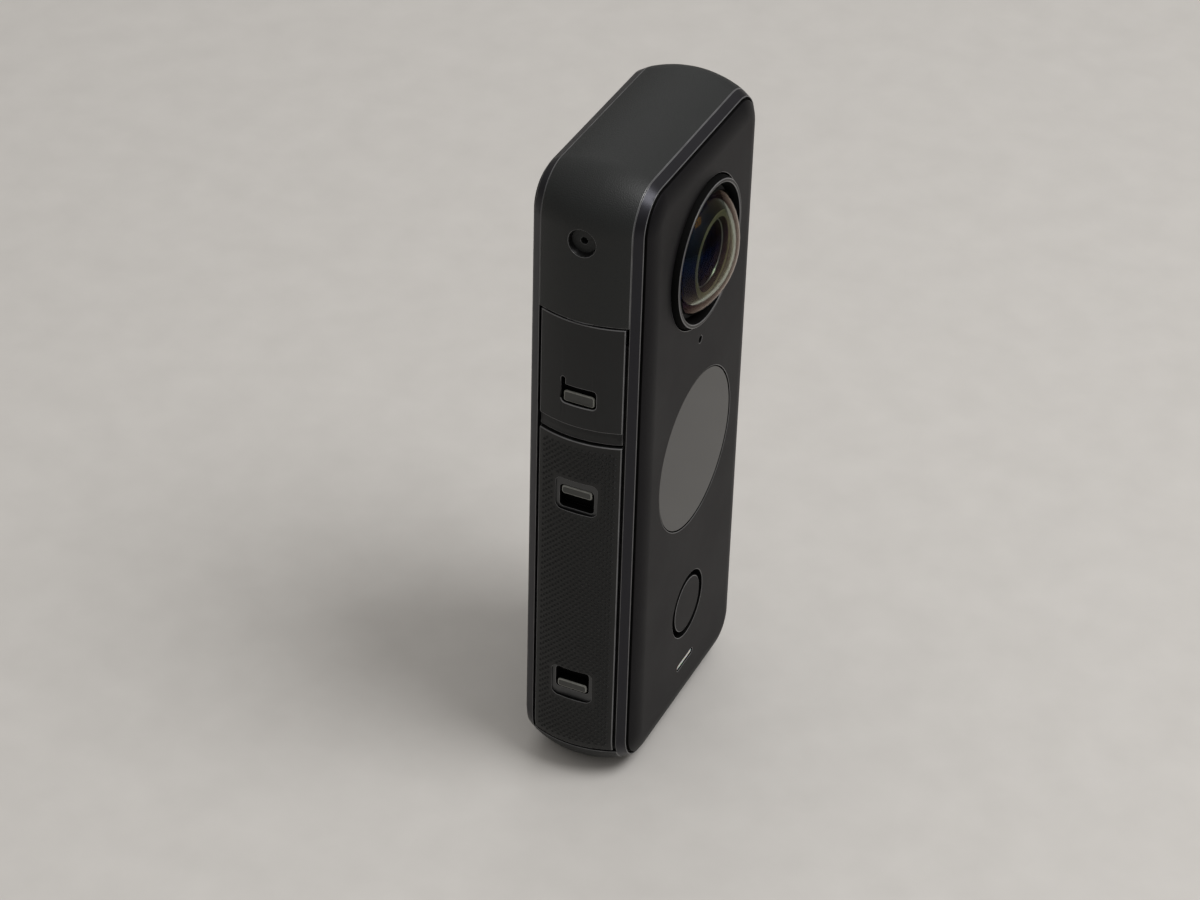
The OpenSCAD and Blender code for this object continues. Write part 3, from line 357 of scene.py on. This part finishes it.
# the collar's outline, as radius and height above the barrel
collar = [(6.6, 0.02), (4.95, 0.3), (5.38, 1), (5.52, 1.2), (6, 2.12), (6.8, 2.3), (6.95, 2.15), (7.5, 1.68),
          (8, 1.16), (8.3, 0.75), (8.3, 0.02), (6.6, 0.02)]
bare_top, throat_r, spring_low, spring_high = 2.18, 5.9, 1, 1.2
for face, way in faces.items():
    seat = depths(face + "_lens_barrel")[1]
    line = [(r, seat + h) for r, h in collar]
    retainer = set_down(face + "_retainer", turned(line, way), champagne, "camera_body")
    retainer.data.set_sharp_from_angle(angle=math.radians(20))
    repaint(retainer, edge_ink, lambda c, n: abs(c.y) < seat + bare_top)
    repaint(retainer, black_anodised, lambda c, n: math.hypot(c.x, c.z - lens_z / mm) < throat_r)
    repaint(retainer, stainless, lambda c, n: seat + spring_low < abs(c.y) < seat + spring_high)

# GLASS DOMES
# The outer fisheye element on each face, a thick glass cap with a round hollow inside. It is ground,
# polished and coated against glare, so it is clear and only its rim is bright.

optical_glass = new_surface("polished_optical_glass")
where = add_node(optical_glass, "TexCoord", {}).outputs["Object"]
# faint dust and wiping marks, a few millimetres wide, under a film against glare
smear = add_node(optical_glass, "TexNoise", {"Vector": where, "Scale": 1 / (5 * mm),
                                             "Detail": 5}).outputs["Fac"]
gloss = add_node(optical_glass, "MapRange", {"Value": smear, "From Min": 0.5, "From Max": 0.8, "To Min": 0,
                                             "To Max": 0.04}).outputs["Result"]
skin = add_node(optical_glass, "BsdfPrincipled", {"Base Color": linear("#a9b0a2"), "Roughness": gloss,
                                                  "IOR": 1.55,
                                                  "Transmission Weight": 1, "Thin Film Thickness": 144,
                                                  "Thin Film IOR": 1.24})
add_node(optical_glass, "OutputMaterial", {"Surface": skin.outputs["BSDF"]})

hollow_r, glass, skirt_h = 10.8, 0.85, 1.1
for face, way in faces.items():
    foot, apex, dome_r = depths(face + "_lens_dome")
    cap = apex - foot - skirt_h
    outer_r = (dome_r ** 2 + cap ** 2) / (2 * cap)
    shape = bmesh.new()
    tip = shape.verts.new((0, way * apex * mm, lens_z))
    edge = bmesh.ops.spin(shape, geom=[tip], cent=(0, way * (apex - outer_r) * mm, lens_z), axis=(0, 0, -way),
                          angle=math.asin(dome_r / outer_r), steps=20)["geom_last"][0]
    skirt = bmesh.ops.extrude_vert_indiv(shape, verts=[edge])["verts"][0]
    skirt.co.y = way * foot * mm
    hollow_d = apex - glass - hollow_r
    inside = shape.verts.new((0, way * (apex - glass) * mm, lens_z))
    mouth = bmesh.ops.spin(shape, geom=[inside], cent=(0, way * hollow_d * mm, lens_z), axis=(0, 0, -way),
                           angle=math.acos((foot - hollow_d) / hollow_r), steps=20)["geom_last"][0]
    shape.edges.new((skirt, mouth))
    dome = set_down(face + "_glass_dome", lathed(shape), optical_glass, "camera_body")
    mouth_r = math.sqrt(hollow_r ** 2 - (foot - hollow_d) ** 2)
    repaint(dome, edge_ink, lambda c, n: abs(c.y) < apex - cap
            and math.hypot(c.x, c.z - lens_z / mm) > mouth_r)
    dome.data.set_sharp_from_angle(angle=math.radians(40))
    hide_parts(face + "_lens_dome")

# LENS TRIM RINGS
# The raised ring round each dome, glued into the cover plate. It is moulded in black plastic with a
# satin skin, with a sharp outer lip and a steep slope down to the glass.

satin_trim = new_surface("satin_black_abs")
where = add_node(satin_trim, "TexCoord", {}).outputs["Object"]
grain = add_node(satin_trim, "TexNoise", {"Vector": where, "Scale": 1 / (0.3 * mm),
                                          "Detail": 3}).outputs["Fac"]
tone = add_node(satin_trim, "Mix", {0: grain, 6: linear("#070707"), 7: linear("#0d0d0e")}, data_type="RGBA")
relief = add_node(satin_trim, "Bump", {"Height": grain, "Strength": 0.3, "Distance": 0.01 * mm})
skin = add_node(satin_trim, "BsdfPrincipled", {"Base Color": tone.outputs[2], "Roughness": 0.42,
                                               "Specular IOR Level": 0.3, "Normal": relief.outputs["Normal"]})
add_node(satin_trim, "OutputMaterial", {"Surface": skin.outputs["BSDF"]})

# Edges are painted paler than the faces beside them as a highlight line, and are glossier where hands and
# pockets rub them, more in some places.
rubbed_edge_highlight = new_surface("rubbed_black_plastic_highlight")
where = add_node(rubbed_edge_highlight, "TexCoord", {}).outputs["Object"]
rub_and_highlight = add_node(rubbed_edge_highlight, "TexNoise", {"Vector": where, "Scale": 1 / (3 * mm), "Detail": 4}).outputs["Fac"]
tone = add_node(rubbed_edge_highlight, "Mix", {0: rub_and_highlight, 6: linear("#303032"), 7: linear("#747476")}, data_type="RGBA")
skin = add_node(rubbed_edge_highlight, "BsdfPrincipled", {"Base Color": tone.outputs[2], "Roughness": 0.28,
                                                "Specular IOR Level": 0.9})
add_node(rubbed_edge_highlight, "OutputMaterial", {"Surface": skin.outputs["BSDF"]})

# Painted shade: grooves, steps, the walls of openings and the parts deep inside them are coloured dead black
# where shade falls.
painted_shade_black = new_surface("painted_shade_groove")
where = add_node(painted_shade_black, "TexCoord", {}).outputs["Object"]
dust = add_node(painted_shade_black, "TexNoise", {"Vector": where, "Scale": 1 / (0.8 * mm),
                                         "Detail": 4}).outputs["Fac"]
tone = add_node(painted_shade_black, "Mix", {0: dust, 6: linear("#020202"), 7: linear("#070707")}, data_type="RGBA")
skin = add_node(painted_shade_black, "BsdfPrincipled", {"Base Color": tone.outputs[2], "Roughness": 0.8,
                                               "Specular IOR Level": 0.08})
add_node(painted_shade_black, "OutputMaterial", {"Surface": skin.outputs["BSDF"]})


def eased(node, width, surface, edge_surface, fine=()):
    """Copies a CAD piece and breaks its outer edges by a width in millimetres, by a third in fine boxes."""
    def is_fine(edge):
        return any(all(low[i] < v.co[i] / mm < high[i] for v in edge.verts for i in range(3))
                   for low, high in fine)

    shape = bmesh.new()
    shape.from_mesh(frame["nodes"][node].data)
    bmesh.ops.remove_doubles(shape, verts=shape.verts, dist=0.004 * mm)
    bmesh.ops.dissolve_limit(shape, verts=shape.verts, edges=shape.edges, angle_limit=math.radians(0.3))
    # the slivers that curved walls leave inside the boxes are merged, because a bevel on them throws spikes
    thin = [e for e in shape.edges if is_fine(e)]
    bmesh.ops.dissolve_limit(shape, verts=list(dict.fromkeys(v for e in thin for v in e.verts)), edges=thin,
                             angle_limit=math.radians(4))
    sharp = [e for e in shape.edges if e.is_manifold and e.calc_face_angle_signed() > math.radians(30)]
    thin = [e for e in sharp if is_fine(e)]
    full = [e for e in sharp if not is_fine(e)]
    for edges, offset in ((thin, width / 3), (full, width)):
        broken = bmesh.ops.bevel(shape, geom=edges, offset=offset * mm, offset_type="OFFSET", affect="EDGES",
                                 segments=2, profile=0.5, material=-1)["faces"]
        # the bevel faces take the second surface; on most pieces it is a paler edge colour, a painted
        # highlight line along each edge
        for face in broken:
            face.material_index = 1
    for face in shape.faces:
        face.smooth = True
    piece = set_down(node + "_finished", shape, surface, carried_by[node])
    piece.data.materials.append(edge_surface)
    piece.data.set_sharp_from_angle(angle=math.radians(42))
    piece.modifiers.new("even_shading", "WEIGHTED_NORMAL").keep_sharp = True
    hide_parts(node)
    return piece


trim_ease = 0.1
for face in faces:
    trim = eased(face + "_lens_ring", trim_ease, satin_trim, rubbed_edge_highlight)
    crest = depths(face + "_lens_ring")[1]
    # the walls below the crest are painted dead black as shade; only the crest keeps the satin skin and its
    # painted pale edge
    repaint(trim, painted_shade_black, lambda c, n: abs(c.y) < crest - trim_ease)

# SHELL
# The bulged band round the sides and the top, with the dished microphone recesses. It is moulded in
# charcoal PC-ABS from a spark-eroded tool, which leaves a fine even grain that glints at the corners.

spark_grain = new_surface("spark_textured_pc_abs")
where = add_node(spark_grain, "TexCoord", {}).outputs["Object"]
# the real grit is about 0.1 mm; it is drawn at 0.2 mm so that it shows in the render
grit = add_node(spark_grain, "TexNoise", {"Vector": where, "Scale": 1 / (0.2 * mm),
                                          "Detail": 1}).outputs["Fac"]
wear = add_node(spark_grain, "TexNoise", {"Vector": where, "Scale": 1 / (9 * mm), "Detail": 4}).outputs["Fac"]
tone = add_node(spark_grain, "Mix", {0: wear, 6: linear("#171919"), 7: linear("#1e2020")}, data_type="RGBA")
gloss = add_node(spark_grain, "MapRange", {"Value": wear, "To Min": 0.46, "To Max": 0.58}).outputs["Result"]
relief = add_node(spark_grain, "Bump", {"Height": grit, "Strength": 0.7, "Distance": 0.06 * mm})
skin = add_node(spark_grain, "BsdfPrincipled", {"Base Color": tone.outputs[2], "Roughness": gloss,
                                                "IOR": 1.55, "Specular IOR Level": 0.3,
                                                "Normal": relief.outputs["Normal"]})
add_node(spark_grain, "OutputMaterial", {"Surface": skin.outputs["BSDF"]})
# boxes round the two microphone dishes
side_dishes = [((-24, -2.6, 100), (-20, 2.6, 105.5)), ((20, -2.6, 100), (24, 2.6, 105.5))]
shell = eased("main_shell", 0.12, spark_grain, rubbed_edge_highlight, side_dishes)
dish_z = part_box("left_microphone")[0].lerp(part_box("left_microphone")[1], 0.5).z / mm
dish_floor, dish_rim, hole_r, dish_r = 20.5, 22.8, 0.75, 2.5
# the microphone dishes are lined with the darker satin black of the trim rings: partly the dark plastic
# there, partly painted shade in the hollows
repaint(shell, satin_trim, lambda c, n: dish_floor < abs(c.x) < dish_rim
        and hole_r < math.hypot(c.y, c.z - dish_z) < dish_r)

# RIMS
# The bevelled frame on each face, between the shell and the cover plate. It is moulded in black
# plastic and left satin, so its bevel catches a soft line of light.

satin_rim = new_surface("satin_black_pc_rim")
where = add_node(satin_rim, "TexCoord", {}).outputs["Object"]
haze = add_node(satin_rim, "TexNoise", {"Vector": where, "Scale": 1 / (4 * mm), "Detail": 5}).outputs["Fac"]
tone = add_node(satin_rim, "Mix", {0: haze, 6: linear("#0a0a0c"), 7: linear("#111013")}, data_type="RGBA")
gloss = add_node(satin_rim, "MapRange", {"Value": haze, "To Min": 0.3, "To Max": 0.42}).outputs["Result"]
skin = add_node(satin_rim, "BsdfPrincipled", {"Base Color": tone.outputs[2], "Roughness": gloss, "IOR": 1.55,
                                              "Specular IOR Level": 0.35, "Specular Tint": linear("#e4e4f2")})
add_node(satin_rim, "OutputMaterial", {"Surface": skin.outputs["BSDF"]})
for face in faces:
    # the eased edges take the pale edge colour, a painted highlight line
    eased(face + "_bezel", 0.12, satin_rim, rubbed_edge_highlight)

# COVER PLATES
# The front plate with the screen, button and light openings, and the plain rear plate. Both are black
# plastic with a soft matt lacquer that gathers a faint haze from handling.

soft_lacquer = new_surface("soft_matt_black_lacquer")
where = add_node(soft_lacquer, "TexCoord", {}).outputs["Object"]
touch = add_node(soft_lacquer, "TexNoise", {"Vector": where, "Scale": 1 / (14 * mm),
                                            "Detail": 6}).outputs["Fac"]
speck = add_node(soft_lacquer, "TexNoise", {"Vector": where, "Scale": 1 / (0.25 * mm),
                                            "Detail": 2}).outputs["Fac"]
tone = add_node(soft_lacquer, "Mix", {0: touch, 6: linear("#070708"), 7: linear("#0b0a0c")}, data_type="RGBA")
gloss = add_node(soft_lacquer, "MapRange", {"Value": touch, "To Min": 0.44, "To Max": 0.58}).outputs["Result"]
relief = add_node(soft_lacquer, "Bump", {"Height": speck, "Strength": 0.25, "Distance": 0.01 * mm})
skin = add_node(soft_lacquer, "BsdfPrincipled", {"Base Color": tone.outputs[2], "Roughness": gloss,
                                                 "Specular IOR Level": 0.17,
                                                 "Specular Tint": linear("#e8e4ee"),
                                                 "Normal": relief.outputs["Normal"]})
add_node(soft_lacquer, "OutputMaterial", {"Surface": skin.outputs["BSDF"]})
# the lacquer runs over the rolled outer edge; only the edges of the openings keep the pale edge colour, a
# painted highlight, and their walls are painted black as shade
field_x, field_low, field_high, wall_slope = 17, 5, 108, 0.4
for face in faces:
    plate = eased(face + "_plate", 0.12, soft_lacquer, rubbed_edge_highlight)
    repaint(plate, soft_lacquer, lambda c, n: abs(c.x) > field_x or not field_low < c.z < field_high)
    repaint(plate, painted_shade_black, lambda c, n: abs(n.y) < wall_slope)
button = eased("shutter_button", 0.15, soft_lacquer, rubbed_edge_highlight)
# the walls of the button's groove are painted black as shade
repaint(button, painted_shade_black, lambda c, n: abs(n.y) < wall_slope)

# SCREEN
# The round touch screen: black cover glass over a dark display panel. Switched off, it shows only a
# clear reflection of the table, with faint finger marks.

cover_glass = new_surface("black_cover_glass")
where = add_node(cover_glass, "TexCoord", {}).outputs["Object"]
mark = add_node(cover_glass, "TexNoise", {"Vector": where, "Scale": 1 / (7 * mm), "Detail": 6,
                                          "Distortion": 0.6}).outputs["Fac"]
gloss = add_node(cover_glass, "MapRange", {"Value": mark, "From Min": 0.35, "From Max": 0.75, "To Min": 0.06,
                                           "To Max": 0.16}).outputs["Result"]
tone = add_node(cover_glass, "Mix", {0: mark, 6: linear("#0b0b0c"), 7: linear("#121213")}, data_type="RGBA")
skin = add_node(cover_glass, "BsdfPrincipled", {"Base Color": tone.outputs[2], "Roughness": gloss,
                                                "IOR": 1.52, "Specular IOR Level": 0.38})
add_node(cover_glass, "OutputMaterial", {"Surface": skin.outputs["BSDF"]})
eased("screen_glass", 0.12, cover_glass, cover_glass)

# The panel under the glass is near black when it is off, and its grid of pixels only just shows.
display = new_surface("dark_display_panel")
where = add_node(display, "TexCoord", {}).outputs["Object"]
pixels = add_node(display, "TexChecker", {"Vector": where, "Scale": 1 / (0.15 * mm)}).outputs["Fac"]
tone = add_node(display, "Mix", {0: pixels, 6: linear("#0d0d10"), 7: linear("#15151a")}, data_type="RGBA")
skin = add_node(display, "BsdfPrincipled", {"Base Color": tone.outputs[2], "Roughness": 0.2})
add_node(display, "OutputMaterial", {"Surface": skin.outputs["BSDF"]})
dress(display, "display_panel")

# STATUS LIGHT
# A narrow light pipe near the foot, pressed into the front plate from behind: milky polycarbonate,
# pale even when it is off.

milky = new_surface("milky_polycarbonate")
where = add_node(milky, "TexCoord", {}).outputs["Object"]
milk = add_node(milky, "TexNoise", {"Vector": where, "Scale": 1 / (1.5 * mm), "Detail": 2}).outputs["Fac"]
tone = add_node(milky, "Mix", {0: milk, 6: linear("#cfcdc6"), 7: linear("#e6e4dd")}, data_type="RGBA")
skin = add_node(milky, "BsdfPrincipled", {"Base Color": tone.outputs[2], "Roughness": 0.4, "IOR": 1.58,
                                          "Subsurface Weight": 0.3, "Subsurface Scale": 0.6 * mm})
add_node(milky, "OutputMaterial", {"Surface": skin.outputs["BSDF"]})
eased("status_light", 0.1, milky, milky)

# FOOT AND TRIPOD THREAD
# The flat foot of the camera, moulded in black nylon, with a turned steel insert that takes a
# quarter-inch tripod screw. The thread is cut at 20 turns to the inch.

eased("foot_plate", 0.15, nylon, rubbed_edge_highlight)
eased("tripod_insert", 0.1, stainless, stainless)
thread_r, thread_depth, pitch = 3.175, 5.2, 25.4 / 20
tooth_foot, tooth_tip, tooth_top = 0.15, 0.7, 1.25
root_r, crest_r = thread_r + 0.05, thread_r - 0.65
turns = (thread_depth - tooth_top) / pitch
shape = bmesh.new()
tooth = [shape.verts.new((r * mm, 0, z * mm)) for r, z in ((root_r, tooth_foot), (crest_r, tooth_tip),
                                                           (root_r, tooth_top))]
for a, b in zip(tooth, tooth[1:] + tooth[:1]):
    shape.edges.new((a, b))
steps_per_turn = 32
steps = round(steps_per_turn * turns)
bmesh.ops.spin(shape, geom=shape.verts[:] + shape.edges[:], cent=(0, 0, 0), axis=(0, 0, 1),
               dvec=(0, 0, turns * pitch * mm / steps), angle=turns * math.tau, steps=steps)
bmesh.ops.holes_fill(shape, edges=shape.edges, sides=3)
bmesh.ops.recalc_face_normals(shape, faces=shape.faces)
for face in shape.faces:
    face.smooth = True
thread = set_down("tripod_thread_turns", shape, stainless, "camera_body")
thread.data.set_sharp_from_angle(angle=math.radians(40))

# BATTERY COVER AND GRIP
# The textured panels on the two long sides: the left one is the outer wall of the battery, the right
# one is clipped into the shell. Both are PC-ABS with rows of small moulded diamonds for the fingers.

panel_skin = new_surface("moulded_diamond_pc_abs")
where = add_node(panel_skin, "TexCoord", {}).outputs["Object"]
grit = add_node(panel_skin, "TexNoise", {"Vector": where, "Scale": 1 / (0.3 * mm),
                                         "Detail": 2}).outputs["Fac"]
wear = add_node(panel_skin, "TexNoise", {"Vector": where, "Scale": 1 / (7 * mm), "Detail": 4}).outputs["Fac"]
tone = add_node(panel_skin, "Mix", {0: wear, 6: linear("#101111"), 7: linear("#171818")}, data_type="RGBA")
relief = add_node(panel_skin, "Bump", {"Height": grit, "Strength": 0.5, "Distance": 0.03 * mm})
skin = add_node(panel_skin, "BsdfPrincipled", {"Base Color": tone.outputs[2], "Roughness": 0.5, "IOR": 1.55,
                                               "Specular IOR Level": 0.3, "Normal": relief.outputs["Normal"]})
add_node(panel_skin, "OutputMaterial", {"Surface": skin.outputs["BSDF"]})
# half width, foot and head of the smooth frame round each latch window, and a box round each
latch_frames = [(4, 53.1, 59.7), (4, 15.4, 22.1)]
window_frames = [((-24, -3.9, 53), (-20, 3.9, 59.8)), ((-24, -3.9, 15.3), (-20, 3.9, 22.2))]
cover = eased("battery_cover", 0.15, panel_skin, rubbed_edge_highlight, window_frames)
eased("right_grip", 0.15, panel_skin, rubbed_edge_highlight)

# The frames round the latch windows are polished in the mould, so they are smooth, and their colour is
# painted a little paler than the panel's.
smooth_frame = new_surface("smooth_pc_abs_frame")
where = add_node(smooth_frame, "TexCoord", {}).outputs["Object"]
haze = add_node(smooth_frame, "TexNoise", {"Vector": where, "Scale": 1 / (2 * mm),
                                           "Detail": 4}).outputs["Fac"]
tone = add_node(smooth_frame, "Mix", {0: haze, 6: linear("#262728"), 7: linear("#323334")}, data_type="RGBA")
skin = add_node(smooth_frame, "BsdfPrincipled", {"Base Color": tone.outputs[2], "Roughness": 0.4,
                                                 "IOR": 1.55})
add_node(smooth_frame, "OutputMaterial", {"Surface": skin.outputs["BSDF"]})

half_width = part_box("main_shell")[1].x / mm
# the frames' flat faces look straight out, and the walls of the windows look along the side
frame_sunk, frame_y, window_y = 0.3, 3.7, 3.2
straight_out, wall_tilt = -0.99, 0.3


def by_window(c):
    """Tells whether a point of the battery cover is at the height of a latch window."""
    return any(low[2] < c.z < high[2] for low, high in window_frames)


repaint(cover, smooth_frame, lambda c, n: n.x < straight_out and abs(c.y) < frame_y
        and c.x > frame_sunk - half_width and by_window(c))
# the walls of the latch windows are painted black as shade
repaint(cover, painted_shade_black, lambda c, n: abs(n.x) < wall_tilt and abs(c.y) < window_y and by_window(c))
corner_r, bulge, bulge_y = 8.6, 1.6, 7.5
bulge_r = (bulge ** 2 + bulge_y ** 2) / (2 * bulge)
dot_pitch, dot_r, dot_tip, dot_rise, dot_sunk = 1.1, 0.36, 0.1, 0.2, 0.02
foot_gap, edge_gap, half_columns = 1.3, 0.9, 8


def diamonds(side, clear):
    """Rows of low four-sided studs on the bulged side, leaving the clear fields smooth."""
    shape = bmesh.new()
    low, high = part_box("battery_cover")
    first, last, edge = low.z / mm + foot_gap, high.z / mm - edge_gap, high.y / mm - edge_gap
    for row in range(int((last - first) / (dot_pitch / 2)) + 1):
        z = first + row * dot_pitch / 2
        for column in range(-half_columns, half_columns + 1):
            y = (column + row % 2 / 2) * dot_pitch
            if abs(y) > edge or any(abs(y) < w and a < z < b for w, a, b in clear):
                continue
            bow = math.sqrt(bulge_r ** 2 - y ** 2) - bulge_r
            fall = math.asin(max(0, corner_r - z) / (corner_r + bow))
            lean = math.asin(y / bulge_r)
            out = Vector((side * math.cos(lean) * math.cos(fall), math.sin(lean),
                          -math.cos(lean) * math.sin(fall)))
            up = Vector((side * math.sin(fall), 0, math.cos(fall)))
            x = half_width - corner_r + (corner_r + bow) * math.cos(fall)
            base = Vector((side * x, y, z)) - out * dot_sunk
            turn = Matrix((up.cross(out), up, out)).transposed().to_4x4()
            bmesh.ops.create_cone(shape, cap_ends=True, segments=4, radius1=dot_r * mm, radius2=dot_tip * mm,
                                  depth=dot_rise * mm,
                                  matrix=Matrix.Translation((base + out * dot_rise / 2) * mm) @ turn)
    bmesh.ops.recalc_face_normals(shape, faces=shape.faces)
    return shape


set_down("battery_diamonds", diamonds(-1, latch_frames), panel_skin, "battery")
set_down("grip_diamonds", diamonds(1, []), panel_skin, "camera_body")

# POWER BUTTON
# A long button in the right side, above the grip, moulded in the same grained PC-ABS as the shell. It
# stands on a tactile switch.

eased("power_button", 0.2, spark_grain, rubbed_edge_highlight)

# PORT DOOR
# The hinged door over the charging port, above the battery cover. It is PC-ABS with a finer grain than
# the shell, and has a set-back lip along its foot for a fingernail.

fine_grain = new_surface("fine_grained_pc_abs")
where = add_node(fine_grain, "TexCoord", {}).outputs["Object"]
grit = add_node(fine_grain, "TexNoise", {"Vector": where, "Scale": 1 / (0.2 * mm),
                                         "Detail": 2}).outputs["Fac"]
wear = add_node(fine_grain, "TexNoise", {"Vector": where, "Scale": 1 / (6 * mm), "Detail": 4}).outputs["Fac"]
tone = add_node(fine_grain, "Mix", {0: wear, 6: linear("#131415"), 7: linear("#191a1b")}, data_type="RGBA")
relief = add_node(fine_grain, "Bump", {"Height": grit, "Strength": 0.4, "Distance": 0.02 * mm})
skin = add_node(fine_grain, "BsdfPrincipled", {"Base Color": tone.outputs[2], "Roughness": 0.52, "IOR": 1.55,
                                               "Specular IOR Level": 0.3, "Normal": relief.outputs["Normal"]})
add_node(fine_grain, "OutputMaterial", {"Surface": skin.outputs["BSDF"]})
door = eased("port_door", 0.15, fine_grain, rubbed_edge_highlight)
# the step above the lip and the walls of the latch window are painted black as shade
door_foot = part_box("port_door")[0].z / mm
lip_low, lip_high, slot_low, slot_high = door_foot + 1, door_foot + 3, door_foot + 5, door_foot + 13
facing_down = -0.7
repaint(door, painted_shade_black, lambda c, n: n.z < facing_down and lip_low < c.z < lip_high)
repaint(door, painted_shade_black, lambda c, n: abs(n.x) < wall_tilt and abs(c.y) < window_y
        and slot_low < c.z < slot_high)

# LATCHES
# The sliding catches behind the windows of the battery cover and the port door, moulded in grey POM,
# which is slippery and has a waxy skin. Only the faces of their finger tabs catch light.

waxy_pom = new_surface("grey_pom")
where = add_node(waxy_pom, "TexCoord", {}).outputs["Object"]
wax = add_node(waxy_pom, "TexNoise", {"Vector": where, "Scale": 1 / (0.5 * mm), "Detail": 3}).outputs["Fac"]
tone = add_node(waxy_pom, "Mix", {0: wax, 6: linear("#2f302e"), 7: linear("#3a3b38")}, data_type="RGBA")
skin = add_node(waxy_pom, "BsdfPrincipled", {"Base Color": tone.outputs[2], "Roughness": 0.42, "IOR": 1.48})
add_node(waxy_pom, "OutputMaterial", {"Surface": skin.outputs["BSDF"]})

# The rims of the tabs are painted pale as a highlight line, and are shinier where fingernails polish them,
# more in some places than others.
pale_pom_highlight = new_surface("polished_pom_edge_highlight")
where = add_node(pale_pom_highlight, "TexCoord", {}).outputs["Object"]
rub_and_highlight = add_node(pale_pom_highlight, "TexNoise", {"Vector": where, "Scale": 1 / (0.8 * mm), "Detail": 3}).outputs["Fac"]
tone = add_node(pale_pom_highlight, "Mix", {0: rub_and_highlight, 6: linear("#6a6b67"), 7: linear("#9c9d97")}, data_type="RGBA")
skin = add_node(pale_pom_highlight, "BsdfPrincipled", {"Base Color": tone.outputs[2], "Roughness": 0.3, "IOR": 1.48})
add_node(pale_pom_highlight, "OutputMaterial", {"Surface": skin.outputs["BSDF"]})
tab_ease = 0.22
for catch in ("upper_latch", "lower_latch", "port_door_latch"):
    slider = eased(catch, tab_ease, waxy_pom, pale_pom_highlight)
    tab_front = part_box(catch)[0].x / mm
    # the carriers behind the tab faces are painted black as shade, so only the tabs show grey
    repaint(slider, painted_shade_black, lambda c, n: c.x > tab_front + tab_ease + 0.01)

# TABLE, LIGHT AND CAMERA
# The camera stands on a pale grey laminate table in soft daylight: a wide lamp high in front of the
# screen, and even light from the room all round.

laminate = new_surface("pale_grey_laminate")
where = add_node(laminate, "TexCoord", {}).outputs["Object"]
fleck = add_node(laminate, "TexNoise", {"Vector": where, "Scale": 1 / (9 * mm), "Detail": 6}).outputs["Fac"]
tone = add_node(laminate, "Mix", {0: fleck, 6: linear("#bfbcb8"), 7: linear("#cbc8c4")}, data_type="RGBA")
skin = add_node(laminate, "BsdfPrincipled", {"Base Color": tone.outputs[2], "Roughness": 0.55})
add_node(laminate, "OutputMaterial", {"Surface": skin.outputs["BSDF"]})
shape = bmesh.new()
bmesh.ops.create_grid(shape, x_segments=8, y_segments=8, size=3)
table_mesh = bpy.data.meshes.new("table_top")
shape.to_mesh(table_mesh)
shape.free()
table_mesh.materials.append(laminate)
table = bpy.data.objects.new("table_top", table_mesh)
bpy.context.scene.collection.objects.link(table)

for lamp, aim, far, wide, power in (("window_light", (-0.03, 0.5, -0.85), 0.9, 0.5, 5.1),
                                    ("wall_light", (-0.754, -0.327, -0.57), 1.2, 0.75, 0.7)):
    light = bpy.data.lights.new(lamp, "AREA")
    light.shape, light.size, light.energy = "DISK", wide, power
    stand = bpy.data.objects.new(lamp, light)
    aim = Vector(aim).normalized()
    stand.location = Vector((0, 0, 0.05)) - aim * far
    stand.rotation_euler = aim.to_track_quat("-Z", "Y").to_euler()
    bpy.context.scene.collection.objects.link(stand)

room = bpy.data.worlds.new("room_light")
bpy.context.scene.world = room
room.use_nodes = True
room.node_tree.nodes.clear()
# the ceiling is bright and the walls fall off towards the table
way_out = add_node(room, "TexCoord", {}).outputs["Generated"]
height = add_node(room, "SeparateXYZ", {"Vector": way_out}).outputs["Z"]
level = add_node(room, "MapRange", {"Value": height, "To Min": 0.1, "To Max": 0.72}).outputs["Result"]
glow = add_node(room, "Background", {"Color": linear("#fdfaf6"), "Strength": level})
add_node(room, "OutputWorld", {"Surface": glow.outputs["Background"]})

# the viewpoint was found by fitting the outline of the solids to the photograph
camera = bpy.data.cameras.new("photo_camera")
camera.lens = 101.065
camera.sensor_width = 36
camera.clip_start = 0.01
viewer = bpy.data.objects.new("photo_camera", camera)
viewer.location = (-0.405961, -0.176028, 0.367273)
viewer.rotation_euler = (math.radians(54.3926), math.radians(-1.3807), math.radians(-64.8134))
bpy.context.scene.collection.objects.link(viewer)
bpy.context.scene.camera = viewer
bpy.context.scene.view_settings.view_transform = "Standard"
